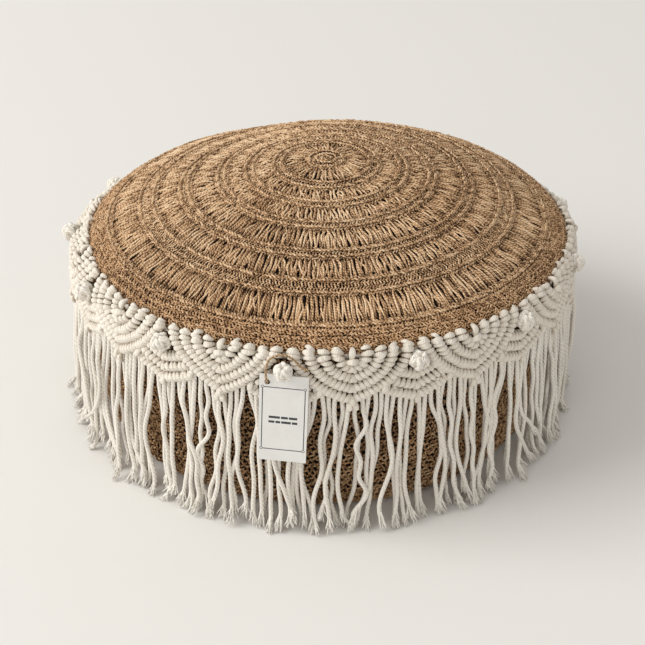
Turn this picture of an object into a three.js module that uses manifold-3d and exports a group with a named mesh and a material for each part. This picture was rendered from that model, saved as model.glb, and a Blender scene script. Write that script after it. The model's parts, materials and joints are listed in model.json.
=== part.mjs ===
// Round floor cushion: a crocheted grass-fibre cover over a foam and fibre filling, with a knotted
// cotton band and a long cotton fringe round its rim, a hang tag on twine, and a zip in its base.
// Millimetres, +Z up, origin on the floor under the middle, front towards -Y, where the tag hangs.
import * as THREE from 'three';
import { mergeVertices } from 'three/addons/utils/BufferGeometryUtils.js';
import Module from 'manifold-3d';

const wasm = await Module();
wasm.setup();

// ---------------------------------------------------------------- driving dimensions

const CLEARANCE = 0.3; // air left between two pieces that touch
const SECTORS = 13; // chevrons round the rim, with as many berry knots between them
const STEPS_PER_SECTOR = 4;

const RIM_R = 270; // edge of the crocheted top
const RIM_Z = 215;
const CROWN_RISE = 80; // middle of the domed top above its edge
const DOME_POWER = 1.55;
const BELLY_IN = 1; // widest part of the side, inside the rim
const BELLY_Z = 120;
const SHOULDER_TUCK = 1.5; // how far the side draws in from the belly to the rim
const FOOT_TUCK = 13.5; // and from the belly to the foot
const FOOT_Z = 12; // where the rounded foot starts
const FOOT_ROUND = 17.5; // breadth of the rounding, from the foot to the flat underside

const COVER_WALL = 6;
const LINER_WALL = 1.5;
const SEAM_CORD_R = 2.6;
const FOAM_HEIGHT = 142;

const BAND_BACK_GAP = 1; // band to the edge of the top
const BAND_THICKNESS = 9;
const BAND_SWELL = 3; // extra thickness at the middle of the band's height
const HOLDING_CORD_R = 3;
const BAND_DROP = 65; // rim to the lower points of the chevrons and of the hitches between them
const NOTCH_DROP = 40; // rim to where a chevron meets its neighbour

const FRINGE_FLARE = 32; // how far the fringe's foot stands out past the rim
const FRINGE_FOOT_Z = 1;
const FRINGE_THICKNESS = 6;

const BERRY_R = 10.5;
const BERRY_DROP = 15; // rim to the middle of a knot
const BERRY_SINK = 4.5; // how far the ball of a knot is pressed into the band
const TAG_BERRY_STANDOFF = 8.5; // the tag hangs behind this knot, so it stands further out
const BERRY_NECK_R = 4;

const CARD_WIDTH = 50;
const CARD_HEIGHT = 100;
const CARD_THICKNESS = 0.8;
const CARD_DROP = 22.3; // rim to the card's top edge
const CARD_TOP_GAP = 2.2; // card's back to the band, at the top edge
const CARD_REST_GAP = 2.5; // card's back to the fringe, at the bottom edge
const CARD_ROLL = THREE.MathUtils.degToRad(1.5);
const HOLE_IN = 8; // hole to the card's left edge
const HOLE_DOWN = 9; // hole to the card's top edge
const HOLE_R = 3;
const TWINE_R = 1;

const ZIP_LENGTH = 400;
const ZIP_SLOT = 24;
const TAPE_WIDTH = 11;
const TAPE_THICKNESS = 1;
const TAPE_COVER = 1.6; // inner face of the base cover to the tape
const CHAIN_GAP = 1.6;
const SLIDER_LENGTH = 14;
const SLIDER_WIDTH = 9;
const SLIDER_PLATE = 2.3;
const SLIDER_COVER = 1; // upper plate, inside the cover
const SLIDER_END_GAP = 21; // slider to the end of the slot when the zip is closed
const PULL_LENGTH = 22;
const PULL_WIDTH = 5;
const PULL_THICKNESS = 1.2;

// ---------------------------------------------------------------- colours

const finish = (color, roughness, metalness = 0) =>
  new THREE.MeshStandardMaterial({ color, roughness, metalness });

const GRASS = () => finish(0x9a7650, 0.85);
const GRASS_SIDE = () => finish(0x7c5b3b, 0.88);
const LINER = () => finish(0x3a2618, 0.95);
const COTTON = () => finish(0xe6e0d4, 0.9);
const FOAM = () => finish(0xe9dfb0, 0.95);
const FIBRE = () => finish(0xf2f0ea, 0.95);
const CARD = () => finish(0xf4f1ea, 0.7);
const JUTE = () => finish(0xa07d55, 0.9);
const TAPE = () => finish(0x4b3626, 0.9);
const BRASS = () => finish(0x8f7440, 0.4, 1);

// ---------------------------------------------------------------- shape helpers

// Heights and radii that follow from the driving dimensions.
const CROWN_Z = RIM_Z + CROWN_RISE;
const BELLY_R = RIM_R - BELLY_IN;
const TIP_Z = RIM_Z - BAND_DROP;
const NOTCH_Z = RIM_Z - NOTCH_DROP;
const FRINGE_FOOT_R = RIM_R + FRINGE_FLARE;
const BERRY_Z = RIM_Z - BERRY_DROP;
const CARD_TOP_Z = RIM_Z - CARD_DROP;
const TAPE_Z = COVER_WALL - TAPE_COVER - TAPE_THICKNESS;

const SEGMENTS = SECTORS * STEPS_PER_SECTOR;
const SECTOR_ANGLE = (2 * Math.PI) / SECTORS;

const point = (r, z) => new THREE.Vector2(r, z);

/** A ring or disc: the profile runs anticlockwise with radius to the right and height up. */
function turned(profile) {
  return new THREE.LatheGeometry(profile, SEGMENTS).rotateX(Math.PI / 2);
}

/** A closed geometry as a solid that can be cut and joined. */
function solidOf(geometry) {
  const bare = geometry.clone();
  bare.deleteAttribute('normal');
  bare.deleteAttribute('uv');
  const welded = mergeVertices(bare, 1e-4);
  const index = welded.index.array;
  const faces = [];
  for (let i = 0; i < index.length; i += 3) {
    const [a, b, c] = index.slice(i, i + 3);
    if (a !== b && b !== c && c !== a) faces.push(a, b, c);
  }
  return new wasm.Manifold(new wasm.Mesh({
    numProp: 3,
    vertProperties: new Float32Array(welded.attributes.position.array),
    triVerts: new Uint32Array(faces),
  }));
}

function geometryOf(solid) {
  const { vertProperties, triVerts } = solid.getMesh();
  const geometry = new THREE.BufferGeometry();
  geometry.setAttribute('position', new THREE.BufferAttribute(vertProperties, 3));
  geometry.setIndex(new THREE.BufferAttribute(triVerts, 1));
  geometry.computeVertexNormals();
  return geometry;
}

/** An outline of [across, up] points pushed out towards -Y, from the middle to the depth. */
function pushedOut(outline, depth) {
  const shape = new THREE.Shape(outline.map(([u, z]) => point(u, z)));
  return new THREE.ExtrudeGeometry(shape, { depth, bevelEnabled: false }).rotateX(Math.PI / 2);
}

/** A tube of the given radius along a smooth curve through the points. */
function tube(points, radius, steps, sides = 8) {
  const path = new THREE.CatmullRomCurve3(points.map((p) => new THREE.Vector3(...p)));
  const section = new THREE.Shape();
  section.absarc(0, 0, radius, 0, 2 * Math.PI);
  return new THREE.ExtrudeGeometry(section, { extrudePath: path, steps, curveSegments: sides / 2 });
}

/** A cord of round section that closes on itself round the cushion. */
function cordRing(ringR, z, radius, sides = 6) {
  const profile = [];
  for (let i = 0; i <= sides; i += 1) {
    const turn = (2 * Math.PI * (i % sides)) / sides;
    profile.push(point(ringR + radius * Math.cos(turn), z + radius * Math.sin(turn)));
  }
  return turned(profile);
}

// ---------------------------------------------------------------- outer form

const evenly = (from, to, count) =>
  Array.from({ length: count + 1 }, (_, i) => from + ((to - from) * i) / count);

/** Straight-line reading of a curve between fixed stations, so that nested shells share facets. */
function faceted(curve, stations) {
  const at = (x) => {
    const next = Math.max(1, stations.findIndex((station) => station >= x));
    const [a, b] = [stations[next - 1], stations[next]];
    return THREE.MathUtils.mapLinear(x, a, b, curve(a), curve(b));
  };
  const between = (from, to) => {
    const inner = stations.filter((x) => x > Math.min(from, to) && x < Math.max(from, to));
    return [from, ...(from < to ? inner : inner.reverse()), to];
  };
  return { at, between };
}

/** Radius of the crocheted side at a height. */
function sideCurve(z) {
  if (z < BELLY_Z) return BELLY_R - FOOT_TUCK * ((BELLY_Z - z) / (BELLY_Z - FOOT_Z)) ** 2;
  return BELLY_R - SHOULDER_TUCK * ((z - BELLY_Z) / (RIM_Z - BELLY_Z)) ** 2;
}

/** Height of the crocheted top at a distance from the middle. */
const domeCurve = (r) => CROWN_Z - (CROWN_Z - RIM_Z) * (r / RIM_R) ** DOME_POWER;

const side = faceted(sideCurve, evenly(FOOT_Z, RIM_Z, 4));
const dome = faceted(domeCurve, evenly(0, RIM_R, 5));

const REST_R = side.at(FOOT_Z) - FOOT_ROUND; // flat face that rests on the floor
const LIP_Z = RIM_Z - COVER_WALL; // underside of the top's edge
const TOP_SEAM_Z = LIP_Z - CLEARANCE - SEAM_CORD_R;
const SIDE_TOP_Z = TOP_SEAM_Z - SEAM_CORD_R - CLEARANCE;
const BASE_SEAM_Z = FOOT_Z + CLEARANCE + SEAM_CORD_R;
const SIDE_FOOT_Z = BASE_SEAM_Z + SEAM_CORD_R + CLEARANCE;

const sidePoints = (from, to, inset) =>
  side.between(from, to).map((z) => point(side.at(z) - inset, z));

const domePoints = (from, to, inset) =>
  dome.between(from, to).map((r) => point(r, dome.at(r) - inset));

// ---------------------------------------------------------------- covers

function topCover() {
  return turned([
    ...domePoints(0, RIM_R, COVER_WALL),
    ...domePoints(RIM_R, 0, 0),
  ]);
}

function sideCover() {
  const outside = sidePoints(SIDE_FOOT_Z, SIDE_TOP_Z, 0);
  const inside = sidePoints(SIDE_TOP_Z, SIDE_FOOT_Z, COVER_WALL);
  return turned([...outside, ...inside, outside[0]]);
}

/** The base is a shallow dish with a slot across it, which the zip closes. */
function baseCover() {
  const footR = side.at(FOOT_Z);
  const heelR = REST_R + 0.7 * FOOT_ROUND;
  const dish = solidOf(turned([
    point(0, 0),
    point(REST_R, 0),
    point(heelR, FOOT_Z / 3),
    point(footR, FOOT_Z),
    point(footR - COVER_WALL, FOOT_Z),
    point(heelR - COVER_WALL / 2, FOOT_Z / 3 + COVER_WALL * 0.85),
    point(REST_R - CLEARANCE, COVER_WALL),
    point(0, COVER_WALL),
  ]));
  const slot = solidOf(new THREE.BoxGeometry(ZIP_LENGTH, ZIP_SLOT, 4 * COVER_WALL));
  return geometryOf(dish.subtract(slot));
}

/** Outline of what fills the cover at an inset from its outside, between two heights. */
function fillingProfile(inset, top = CROWN_Z) {
  const shoulderZ = Math.min(top, SIDE_TOP_Z);
  const profile = [
    point(0, inset),
    point(REST_R - inset / 2, inset),
    ...sidePoints(SIDE_FOOT_Z, shoulderZ, inset),
  ];
  if (top < CROWN_Z) return [...profile, point(0, top)];
  return [...profile, ...domePoints(side.at(LIP_Z) - inset, 0, inset)];
}

const LINER_INSET = COVER_WALL + CLEARANCE;
const FILL_INSET = LINER_INSET + LINER_WALL + CLEARANCE;

/** Thin woven bag inside the covers, with its own slit over the zip. */
function liner() {
  const bag = solidOf(turned(fillingProfile(LINER_INSET)));
  const hollow = solidOf(turned(fillingProfile(LINER_INSET + LINER_WALL)));
  const slit = solidOf(new THREE.BoxGeometry(ZIP_LENGTH, CHAIN_GAP * 4, 4 * LINER_INSET));
  return geometryOf(bag.subtract(hollow).subtract(slit));
}

const FOAM_TOP_Z = FILL_INSET + FOAM_HEIGHT;

const foamDisc = () => turned(fillingProfile(FILL_INSET, FOAM_TOP_Z));

function fibreFill() {
  const foot = FOAM_TOP_Z + CLEARANCE;
  return turned([
    point(0, foot),
    ...sidePoints(foot, SIDE_TOP_Z, FILL_INSET),
    ...domePoints(side.at(LIP_Z) - FILL_INSET, 0, FILL_INSET),
  ]);
}

// ---------------------------------------------------------------- knotted band and fringe

const BAND_IN_R = RIM_R + BAND_BACK_GAP;
const BAND_OUT_R = BAND_IN_R + BAND_THICKNESS + BAND_SWELL;
const HOLDING_CORD_Z = RIM_Z + HOLDING_CORD_R / 2;
const BAND_TOP_Z = HOLDING_CORD_Z - HOLDING_CORD_R - CLEARANCE;
const BAND_MID_Z = (BAND_TOP_Z + NOTCH_Z) / 2;
const FRINGE_TOP_R = BAND_OUT_R + BAND_BACK_GAP;
const FRINGE_TOP_Z = NOTCH_Z + 1;

/** Outside radius of the fringe at a height: it flares evenly down to its foot. */
function fringeR(z) {
  const share = (FRINGE_TOP_Z - z) / (FRINGE_TOP_Z - FRINGE_FOOT_Z);
  return FRINGE_TOP_R + (FRINGE_FOOT_R - FRINGE_TOP_R) * share;
}

/** Slice of the ring for one sector, with half a clearance off each side. */
function sectorWedge() {
  const half = SECTOR_ANGLE / 2;
  const apex = CLEARANCE / 2 / Math.sin(half);
  const reach = 1.5 * FRINGE_FOOT_R;
  const corner = (side) => [side * reach * Math.sin(half), -apex - reach * Math.cos(half)];
  const shape = new THREE.Shape([[0, -apex], corner(-1), corner(1)].map(([x, y]) => point(x, y)));
  return solidOf(new THREE.ExtrudeGeometry(shape, { depth: CROWN_Z, bevelEnabled: false }));
}

/** Lower edge of the band across one sector, lowered by the given drop. */
function chevronEdge(drop) {
  const edgeR = BAND_OUT_R - BAND_THICKNESS / 2;
  const across = (share) => edgeR * Math.tan(SECTOR_ANGLE * share);
  const tip = TIP_Z - drop;
  const notch = NOTCH_Z - drop;
  return [
    [-across(0.75), notch], [-across(0.5), tip], [-across(0.25), notch], [0, tip],
    [across(0.25), notch], [across(0.5), tip], [across(0.75), notch],
  ];
}

function bandPanel(wedge) {
  const ring = solidOf(turned([
    point(BAND_IN_R, TIP_Z - 1),
    point(BAND_OUT_R - 1, TIP_Z - 1),
    point(BAND_OUT_R, NOTCH_Z),
    point(BAND_OUT_R, BAND_MID_Z),
    point(BAND_OUT_R - BAND_SWELL, BAND_TOP_Z),
    point(BAND_IN_R, BAND_TOP_Z),
    point(BAND_IN_R, TIP_Z - 1),
  ]).rotateZ(SECTOR_ANGLE / 2));
  const edge = chevronEdge(0);
  const above = [...edge, [edge.at(-1)[0], CROWN_Z], [edge[0][0], CROWN_Z]];
  return ring.intersect(wedge).intersect(solidOf(pushedOut(above, 2 * FRINGE_FOOT_R)));
}

function fringeSection(wedge) {
  const outside = evenly(FRINGE_FOOT_Z, FRINGE_TOP_Z, 3).map((z) => point(fringeR(z), z));
  const inside = [...outside].reverse().map((p) => point(p.x - FRINGE_THICKNESS, p.y));
  const ring = solidOf(turned([...outside, ...inside, outside[0]]).rotateZ(SECTOR_ANGLE / 2));
  const slope = Math.atan2(NOTCH_Z - TIP_Z, BAND_OUT_R * Math.tan(SECTOR_ANGLE / 4));
  const edge = chevronEdge(CLEARANCE / Math.cos(slope));
  const below = [[edge[0][0], -1], [edge.at(-1)[0], -1], ...edge.reverse()];
  return ring.intersect(wedge).intersect(solidOf(pushedOut(below, 2 * FRINGE_FOOT_R)));
}

/** Ball of knotted cord pressed against the band, in front of its own sector edge. */
function berryKnot() {
  const middleR = BAND_OUT_R + BERRY_R - BERRY_SINK;
  const ball = new THREE.SphereGeometry(BERRY_R, 10, 8).rotateX(Math.PI / 2);
  const backR = BAND_OUT_R + CLEARANCE;
  const room = new THREE.BoxGeometry(4 * BERRY_R, 4 * BERRY_R, 4 * BERRY_R);
  const front = solidOf(room.translate(0, -backR - 2 * BERRY_R, BERRY_Z));
  return solidOf(ball.translate(0, -middleR, BERRY_Z)).intersect(front);
}

/** The knot over the tag stands clear of the card on a short neck. */
function tagBerryKnot() {
  const middleR = BAND_OUT_R + TAG_BERRY_STANDOFF;
  const ball = new THREE.SphereGeometry(BERRY_R, 10, 8).rotateX(Math.PI / 2);
  const backR = BAND_OUT_R + CARD_TOP_GAP + CARD_THICKNESS + 2 * TWINE_R;
  const room = new THREE.BoxGeometry(4 * BERRY_R, 4 * BERRY_R, 4 * BERRY_R);
  const front = solidOf(room.translate(0, -backR - 2 * BERRY_R, BERRY_Z));
  const neckLength = middleR - BAND_OUT_R - CLEARANCE;
  const neck = new THREE.CylinderGeometry(BERRY_NECK_R, BERRY_NECK_R, neckLength, 10);
  const neckMiddle = -BAND_OUT_R - CLEARANCE - neckLength / 2;
  return solidOf(ball.translate(0, -middleR, BERRY_Z))
    .intersect(front)
    .add(solidOf(neck.translate(0, neckMiddle, BERRY_Z)));
}

// ---------------------------------------------------------------- tag

const CARD_TOP_R = BAND_OUT_R + CARD_TOP_GAP; // back of the card at its top edge
const CARD_FOOT_R = fringeR(CARD_TOP_Z - CARD_HEIGHT) + CARD_REST_GAP;
const CARD_LEAN = Math.asin((CARD_FOOT_R - CARD_TOP_R) / CARD_HEIGHT);
const HOLE = {
  x: HOLE_IN - CARD_WIDTH / 2,
  y: -CARD_TOP_R - HOLE_DOWN * Math.sin(CARD_LEAN),
  z: CARD_TOP_Z - HOLE_DOWN * Math.cos(CARD_LEAN),
};

/** The card, with its own origin at the back of its hole. */
function tagCard() {
  const left = -HOLE_IN;
  const right = CARD_WIDTH - HOLE_IN;
  const top = HOLE_DOWN;
  const bottom = HOLE_DOWN - CARD_HEIGHT;
  const outline = [[left, bottom], [right, bottom], [right, top], [left, top]];
  const shape = new THREE.Shape(outline.map(([u, z]) => point(u, z)));
  const hole = new THREE.Path();
  hole.absarc(0, 0, HOLE_R, 0, 2 * Math.PI, true);
  shape.holes.push(hole);
  const options = { depth: CARD_THICKNESS, bevelEnabled: false, curveSegments: 10 };
  return new THREE.ExtrudeGeometry(shape, options).rotateX(Math.PI / 2);
}

/** Twine from the hole, up over the berry knot's neck and down to its right. */
function tagTwine() {
  const front = HOLE.y - CARD_THICKNESS;
  const face = -BAND_OUT_R - 2 * TWINE_R;
  return tube([
    [HOLE.x, HOLE.y + 0.2, HOLE.z - 0.6],
    [HOLE.x, front - 1.8, HOLE.z + 2.4],
    [HOLE.x - 1, front - 2.4, HOLE.z + 12],
    [-15.5, face - 1.5, BERRY_Z + 9],
    [-6.5, face, BERRY_Z + 15],
    [3, face, BERRY_Z + 15.5],
    [11, face, BERRY_Z + 10],
    [17, face, BERRY_Z + 3],
    [25, face, BERRY_Z - 0.5],
  ], TWINE_R, 28);
}

// ---------------------------------------------------------------- zip

const zipTape = () => new THREE.BoxGeometry(ZIP_LENGTH - 2 * CLEARANCE, TAPE_WIDTH, TAPE_THICKNESS);

/** Slider with a plate on each side of the tapes and a web between them. */
function zipSlider() {
  const half = SLIDER_WIDTH / 2;
  const web = CHAIN_GAP / 2 - CLEARANCE;
  const under = -CLEARANCE;
  const over = TAPE_THICKNESS + CLEARANCE;
  const right = [
    [half, under - SLIDER_PLATE], [half, under], [web, under], [web, over],
    [half, over], [half, over + SLIDER_COVER],
  ];
  const left = right.map(([u, z]) => [-u, z]).reverse();
  const shape = new THREE.Shape([...right, ...left].map(([u, z]) => point(u, z)));
  const body = new THREE.ExtrudeGeometry(shape, { depth: SLIDER_LENGTH, bevelEnabled: false });
  return body.rotateX(Math.PI / 2).rotateZ(Math.PI / 2);
}

/** Flat pull with a round eye at its pivot, its own origin at the pivot. */
function zipPull() {
  const half = PULL_THICKNESS / 2;
  const shape = new THREE.Shape();
  shape.absarc(0, 0, half, Math.PI / 2, 1.5 * Math.PI);
  shape.lineTo(PULL_LENGTH, -half);
  shape.lineTo(PULL_LENGTH, half);
  const options = { depth: PULL_WIDTH, bevelEnabled: false, curveSegments: 4 };
  return new THREE.ExtrudeGeometry(shape, options).rotateX(Math.PI / 2).translate(0, PULL_WIDTH / 2, 0);
}

// ---------------------------------------------------------------- assembly

const cushion = new THREE.Group();

function add(name, geometry, material, parent = cushion) {
  const mesh = new THREE.Mesh(geometry, material);
  mesh.name = name;
  parent.add(mesh);
  return mesh;
}

const numbered = (stem, i) => `${stem}_${String(i + 1).padStart(2, '0')}`;

add('top_cover', topCover(), GRASS());
add('side_cover', sideCover(), GRASS_SIDE());
add('base_cover', baseCover(), GRASS_SIDE());
for (const [name, z] of [['top_seam_cord', TOP_SEAM_Z], ['base_seam_cord', BASE_SEAM_Z]]) {
  add(name, cordRing(side.at(z) - SEAM_CORD_R, z, SEAM_CORD_R), GRASS());
}
add('liner', liner(), LINER());
add('foam_disc', foamDisc(), FOAM());
add('fibre_fill', fibreFill(), FIBRE());

const holdingCordR = RIM_R + CLEARANCE + 1.2 * HOLDING_CORD_R;
add('holding_cord', cordRing(holdingCordR, HOLDING_CORD_Z, HOLDING_CORD_R), COTTON());

const wedge = sectorWedge();
const panel = geometryOf(bandPanel(wedge));
const fringe = geometryOf(fringeSection(wedge));
const berry = geometryOf(berryKnot());
for (let i = 0; i < SECTORS; i += 1) {
  const sector = new THREE.Group();
  sector.rotation.z = SECTOR_ANGLE * (i + 0.5);
  add(numbered('macrame', i), panel, COTTON(), sector);
  add(numbered('fringe', i), fringe, COTTON(), sector);
  const edge = new THREE.Group();
  edge.rotation.z = SECTOR_ANGLE * i;
  add(numbered('berry_knot', i), i === 0 ? geometryOf(tagBerryKnot()) : berry, COTTON(), edge);
  cushion.add(sector, edge);
}

const card = add('tag_card', tagCard(), CARD());
card.position.set(HOLE.x, HOLE.y, HOLE.z);
card.rotation.set(-CARD_LEAN, CARD_ROLL, 0);
add('tag_twine', tagTwine(), JUTE());

for (const [name, side] of [['zip_tape_front', -1], ['zip_tape_back', 1]]) {
  const tape = add(name, zipTape(), TAPE());
  tape.position.set(0, (side * (CHAIN_GAP + TAPE_WIDTH)) / 2, TAPE_Z + TAPE_THICKNESS / 2);
}
const sliderX = -ZIP_LENGTH / 2 + SLIDER_END_GAP;
add('zip_slider', zipSlider(), BRASS()).position.set(sliderX, 0, TAPE_Z);
const pullX = sliderX + SLIDER_LENGTH + PULL_THICKNESS;
const pullZ = TAPE_Z - CLEARANCE - SLIDER_PLATE / 2;
add('zip_pull', zipPull(), BRASS()).position.set(pullX, 0, pullZ);

export default cushion;
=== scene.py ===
"""Round floor cushion: crocheted grass cover, knotted cotton band and fringe, swing tag and base zip.

Metres, +Z up, origin on the floor under the middle, front towards -Y where the tag hangs. An azimuth is
measured from the front towards +X. Each sub-assembly is a class that builds and dresses its own pieces.
"""

import json
import logging
import math
from collections.abc import Callable, Iterable, Mapping
from dataclasses import dataclass, field
from enum import Enum

import bpy
import numpy as np
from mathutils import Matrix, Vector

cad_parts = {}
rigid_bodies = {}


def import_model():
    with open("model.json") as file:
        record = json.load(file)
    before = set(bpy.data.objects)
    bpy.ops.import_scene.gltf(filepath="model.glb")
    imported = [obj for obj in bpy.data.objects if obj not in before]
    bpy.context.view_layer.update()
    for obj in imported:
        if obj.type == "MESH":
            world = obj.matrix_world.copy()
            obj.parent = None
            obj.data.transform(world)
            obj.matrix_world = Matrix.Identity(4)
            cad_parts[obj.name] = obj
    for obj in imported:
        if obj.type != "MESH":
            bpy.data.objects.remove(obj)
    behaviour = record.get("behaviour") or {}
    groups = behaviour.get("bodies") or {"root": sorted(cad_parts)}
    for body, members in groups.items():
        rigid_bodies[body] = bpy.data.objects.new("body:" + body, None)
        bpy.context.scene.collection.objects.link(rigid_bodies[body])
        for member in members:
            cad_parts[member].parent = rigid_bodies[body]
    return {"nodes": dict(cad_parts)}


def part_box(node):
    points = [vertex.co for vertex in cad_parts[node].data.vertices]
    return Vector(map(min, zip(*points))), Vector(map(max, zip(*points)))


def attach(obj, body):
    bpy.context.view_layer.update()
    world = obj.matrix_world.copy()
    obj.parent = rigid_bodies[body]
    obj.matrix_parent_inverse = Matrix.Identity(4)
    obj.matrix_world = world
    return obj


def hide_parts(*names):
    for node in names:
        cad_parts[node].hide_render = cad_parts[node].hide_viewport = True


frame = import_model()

LOG = logging.getLogger("cushion")
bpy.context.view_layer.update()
MM = 0.001
SECTORS = 13
TURN = 2 * math.pi
SECTOR = TURN / SECTORS
ANY_PHASE = 6.28
Array = np.ndarray
Triple = tuple[float, float, float]
Colour = Triple
Piece = bpy.types.Object
Mesh = bpy.types.Mesh
Random = np.random.Generator
seeded = np.random.default_rng


# ---------------------------------------------------------------- node graphs


def arithmetic(operation: str, reflected: bool = False) -> Callable[..., "Wire"]:
    """Make an operator method of Wire that adds a Math node.

    Args:
        operation: the Math node's operation.
        reflected: whether the wire stands on the right.

    Returns:
        The method.
    """

    def method(wire: "Wire", other: "Wire | float") -> "Wire":
        """Join the two in a Math node."""
        pair = (other, wire) if reflected else (wire, other)
        return wire.graph.math(operation, *pair)

    return method


class Wire:
    """An output socket; arithmetic on it adds Math nodes."""

    def __init__(self, graph: "Graph", socket: bpy.types.NodeSocket) -> None:
        """Remember the graph and the socket."""
        self.graph = graph
        self.socket = socket

    def other(self, key: str) -> "Wire":
        """Another output of the same node, by name."""
        return Wire(self.graph, self.graph.find(self.socket.node.outputs, key))

    __add__ = arithmetic("ADD")
    __radd__ = arithmetic("ADD", reflected=True)
    __sub__ = arithmetic("SUBTRACT")
    __rsub__ = arithmetic("SUBTRACT", reflected=True)
    __mul__ = arithmetic("MULTIPLY")
    __rmul__ = arithmetic("MULTIPLY", reflected=True)
    __truediv__ = arithmetic("DIVIDE")


class Graph:
    """Adds nodes to a shader or geometry tree."""

    def __init__(self, tree: bpy.types.NodeTree) -> None:
        """Remember the tree."""
        self.tree = tree

    @staticmethod
    def find(sockets: Iterable[bpy.types.NodeSocket], key: int | str) -> bpy.types.NodeSocket:
        """Find a socket.

        Args:
            sockets: a node's inputs or outputs.
            key: place in the row, identifier or shown name.

        Returns:
            The matching socket, enabled ones first.
        """
        row = list(sockets)
        if isinstance(key, int):
            return row[key]
        for test in (lambda s: s.identifier == key, lambda s: s.name == key and s.enabled):
            for socket in row:
                if test(socket):
                    return socket
        raise KeyError(key)

    def add(self, kind: str, settings: Mapping[str, object] | None = None,
            sockets: Mapping[int | str, object] | None = None, output: int | str = 0) -> Wire:
        """Add any node.

        Args:
            kind: the node's type.
            settings: its properties, set first; "stops" holds a ramp's (place, colour) pairs.
            sockets: values, wires or lists of wires for its inputs.
            output: which output to hand back.

        Returns:
            That output.
        """
        node = self.tree.nodes.new(kind)
        for name, value in (settings or {}).items():
            if name == "stops":
                self._set_stops(node, value)
            else:
                setattr(node, name, value)
        for key, value in (sockets or {}).items():
            socket = self.find(node.inputs, key)
            for one in value if isinstance(value, list) else [value]:
                if isinstance(one, Wire):
                    self.tree.links.new(one.socket, socket)
                else:
                    socket.default_value = one
        return Wire(self, self.find(node.outputs, output))

    @staticmethod
    def _set_stops(node: bpy.types.Node, stops: list[tuple[float, Colour]]) -> None:
        """Give a colour ramp its stops."""
        ramp = node.color_ramp
        while len(ramp.elements) > 1:
            ramp.elements.remove(ramp.elements[-1])
        for i, (place, colour) in enumerate(stops):
            stop = ramp.elements[0] if i == 0 else ramp.elements.new(place)
            stop.position = place
            stop.color = (*colour, 1.0)

    def math(self, operation: str, *values: "Wire | float") -> Wire:
        """Add a Math node."""
        return self.add("ShaderNodeMath", {"operation": operation}, dict(enumerate(values)))

    def vector(self, operation: str, *values: object) -> Wire:
        """Add a Vector Math node."""
        return self.add("ShaderNodeVectorMath", {"operation": operation}, dict(enumerate(values)))

    def ramp(self, factor: Wire, stops: list[tuple[float, Colour]]) -> Wire:
        """Add a colour ramp."""
        return self.add("ShaderNodeValToRGB", {"stops": stops}, {"Fac": factor}, "Color")

    def blend(self, factor: "Wire | float", a: object, b: object, mode: str = "MIX") -> Wire:
        """Mix two colours."""
        return self.add("ShaderNodeMix", {"data_type": "RGBA", "blend_type": mode},
                        {"Factor_Float": factor, "A_Color": a, "B_Color": b}, "Result_Color")

    def attribute(self, name: str) -> Wire:
        """Read a number held on the mesh, in a shader."""
        return self.add("ShaderNodeAttribute", {"attribute_name": name}, output="Fac")

    def noise(self, vector: Wire, scale: float, detail: float = 2.0) -> Wire:
        """Add a noise texture."""
        sockets = {"Vector": vector, "Scale": scale, "Detail": detail}
        return self.add("ShaderNodeTexNoise", {}, sockets, "Fac")


# ---------------------------------------------------------------- guides and patterns


def guide_points(spots: Array, **facts: Array) -> Mesh:
    """Make a mesh of loose points.

    Args:
        spots: places, one row each.
        facts: numbers or vectors to hold on the points.

    Returns:
        The guide mesh.
    """
    mesh = bpy.data.meshes.new("guide")
    mesh.vertices.add(len(spots))
    mesh.vertices.foreach_set("co", np.ascontiguousarray(spots, dtype=np.float32).ravel())
    for key, values in facts.items():
        values = np.ascontiguousarray(values, dtype=np.float32)
        wide = values.ndim == 2
        layer = mesh.attributes.new(key, "FLOAT_VECTOR" if wide else "FLOAT", "POINT")
        layer.data.foreach_set("vector" if wide else "value", values.ravel())
    return mesh


def distance_run(line: Array) -> Array:
    """Distance run along a line at each of its points."""
    return np.concatenate([[0.0], np.cumsum(np.linalg.norm(np.diff(line, axis=0), axis=1))])


def vertex_values(mesh: Mesh, what: str = "co") -> Array:
    """Read the places or the normals of a mesh's vertices, one row each."""
    values = np.empty(len(mesh.vertices) * 3)
    mesh.vertices.foreach_get(what, values)
    return values.reshape(-1, 3)


def guide_lines(lines: list[Array], closed: bool = False, **facts: list[Array]) -> Mesh:
    """Make a mesh of open or closed lines, with the distance run along each held as "run".

    Args:
        lines: each line's points in order.
        closed: join each line's end to its start.
        facts: for each line, one number or vector a point.

    Returns:
        The guide mesh.
    """
    runs = []
    edges = []
    start = 0
    for line in lines:
        runs.append(distance_run(line))
        index = np.arange(start, start + len(line))
        edges.append(np.stack([index[:-1], index[1:]], axis=1))
        if closed:
            edges.append(np.array([[index[-1], index[0]]]))
        start += len(line)
    mesh = guide_points(np.concatenate(lines), run=np.concatenate(runs),
                        **{key: np.concatenate(parts) for key, parts in facts.items()})
    pairs = np.concatenate(edges).astype(np.int32)
    mesh.edges.add(len(pairs))
    mesh.edges.foreach_set("vertices", pairs.ravel())
    mesh.update()
    return mesh


def cord_guide(path: Array, shade: float = 0.5, dip: float = 0.0, closed: bool = False,
               thick: Array | None = None) -> Mesh:
    """Make the guide of a single cord of one tone.

    Args:
        path: its points in order.
        shade: its tone, 0 to 1.
        dip: painted shade for how deep it lies under its neighbours, 0 to 1.
        closed: join its end to its start.
        thick: thickness at each point against the yarn's own, even unless given.

    Returns:
        The guide mesh.
    """
    n = len(path)
    return guide_lines([path], closed=closed, shade=[np.full(n, shade)], dip=[np.full(n, dip)],
                       thick=[np.ones(n) if thick is None else thick])


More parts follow.
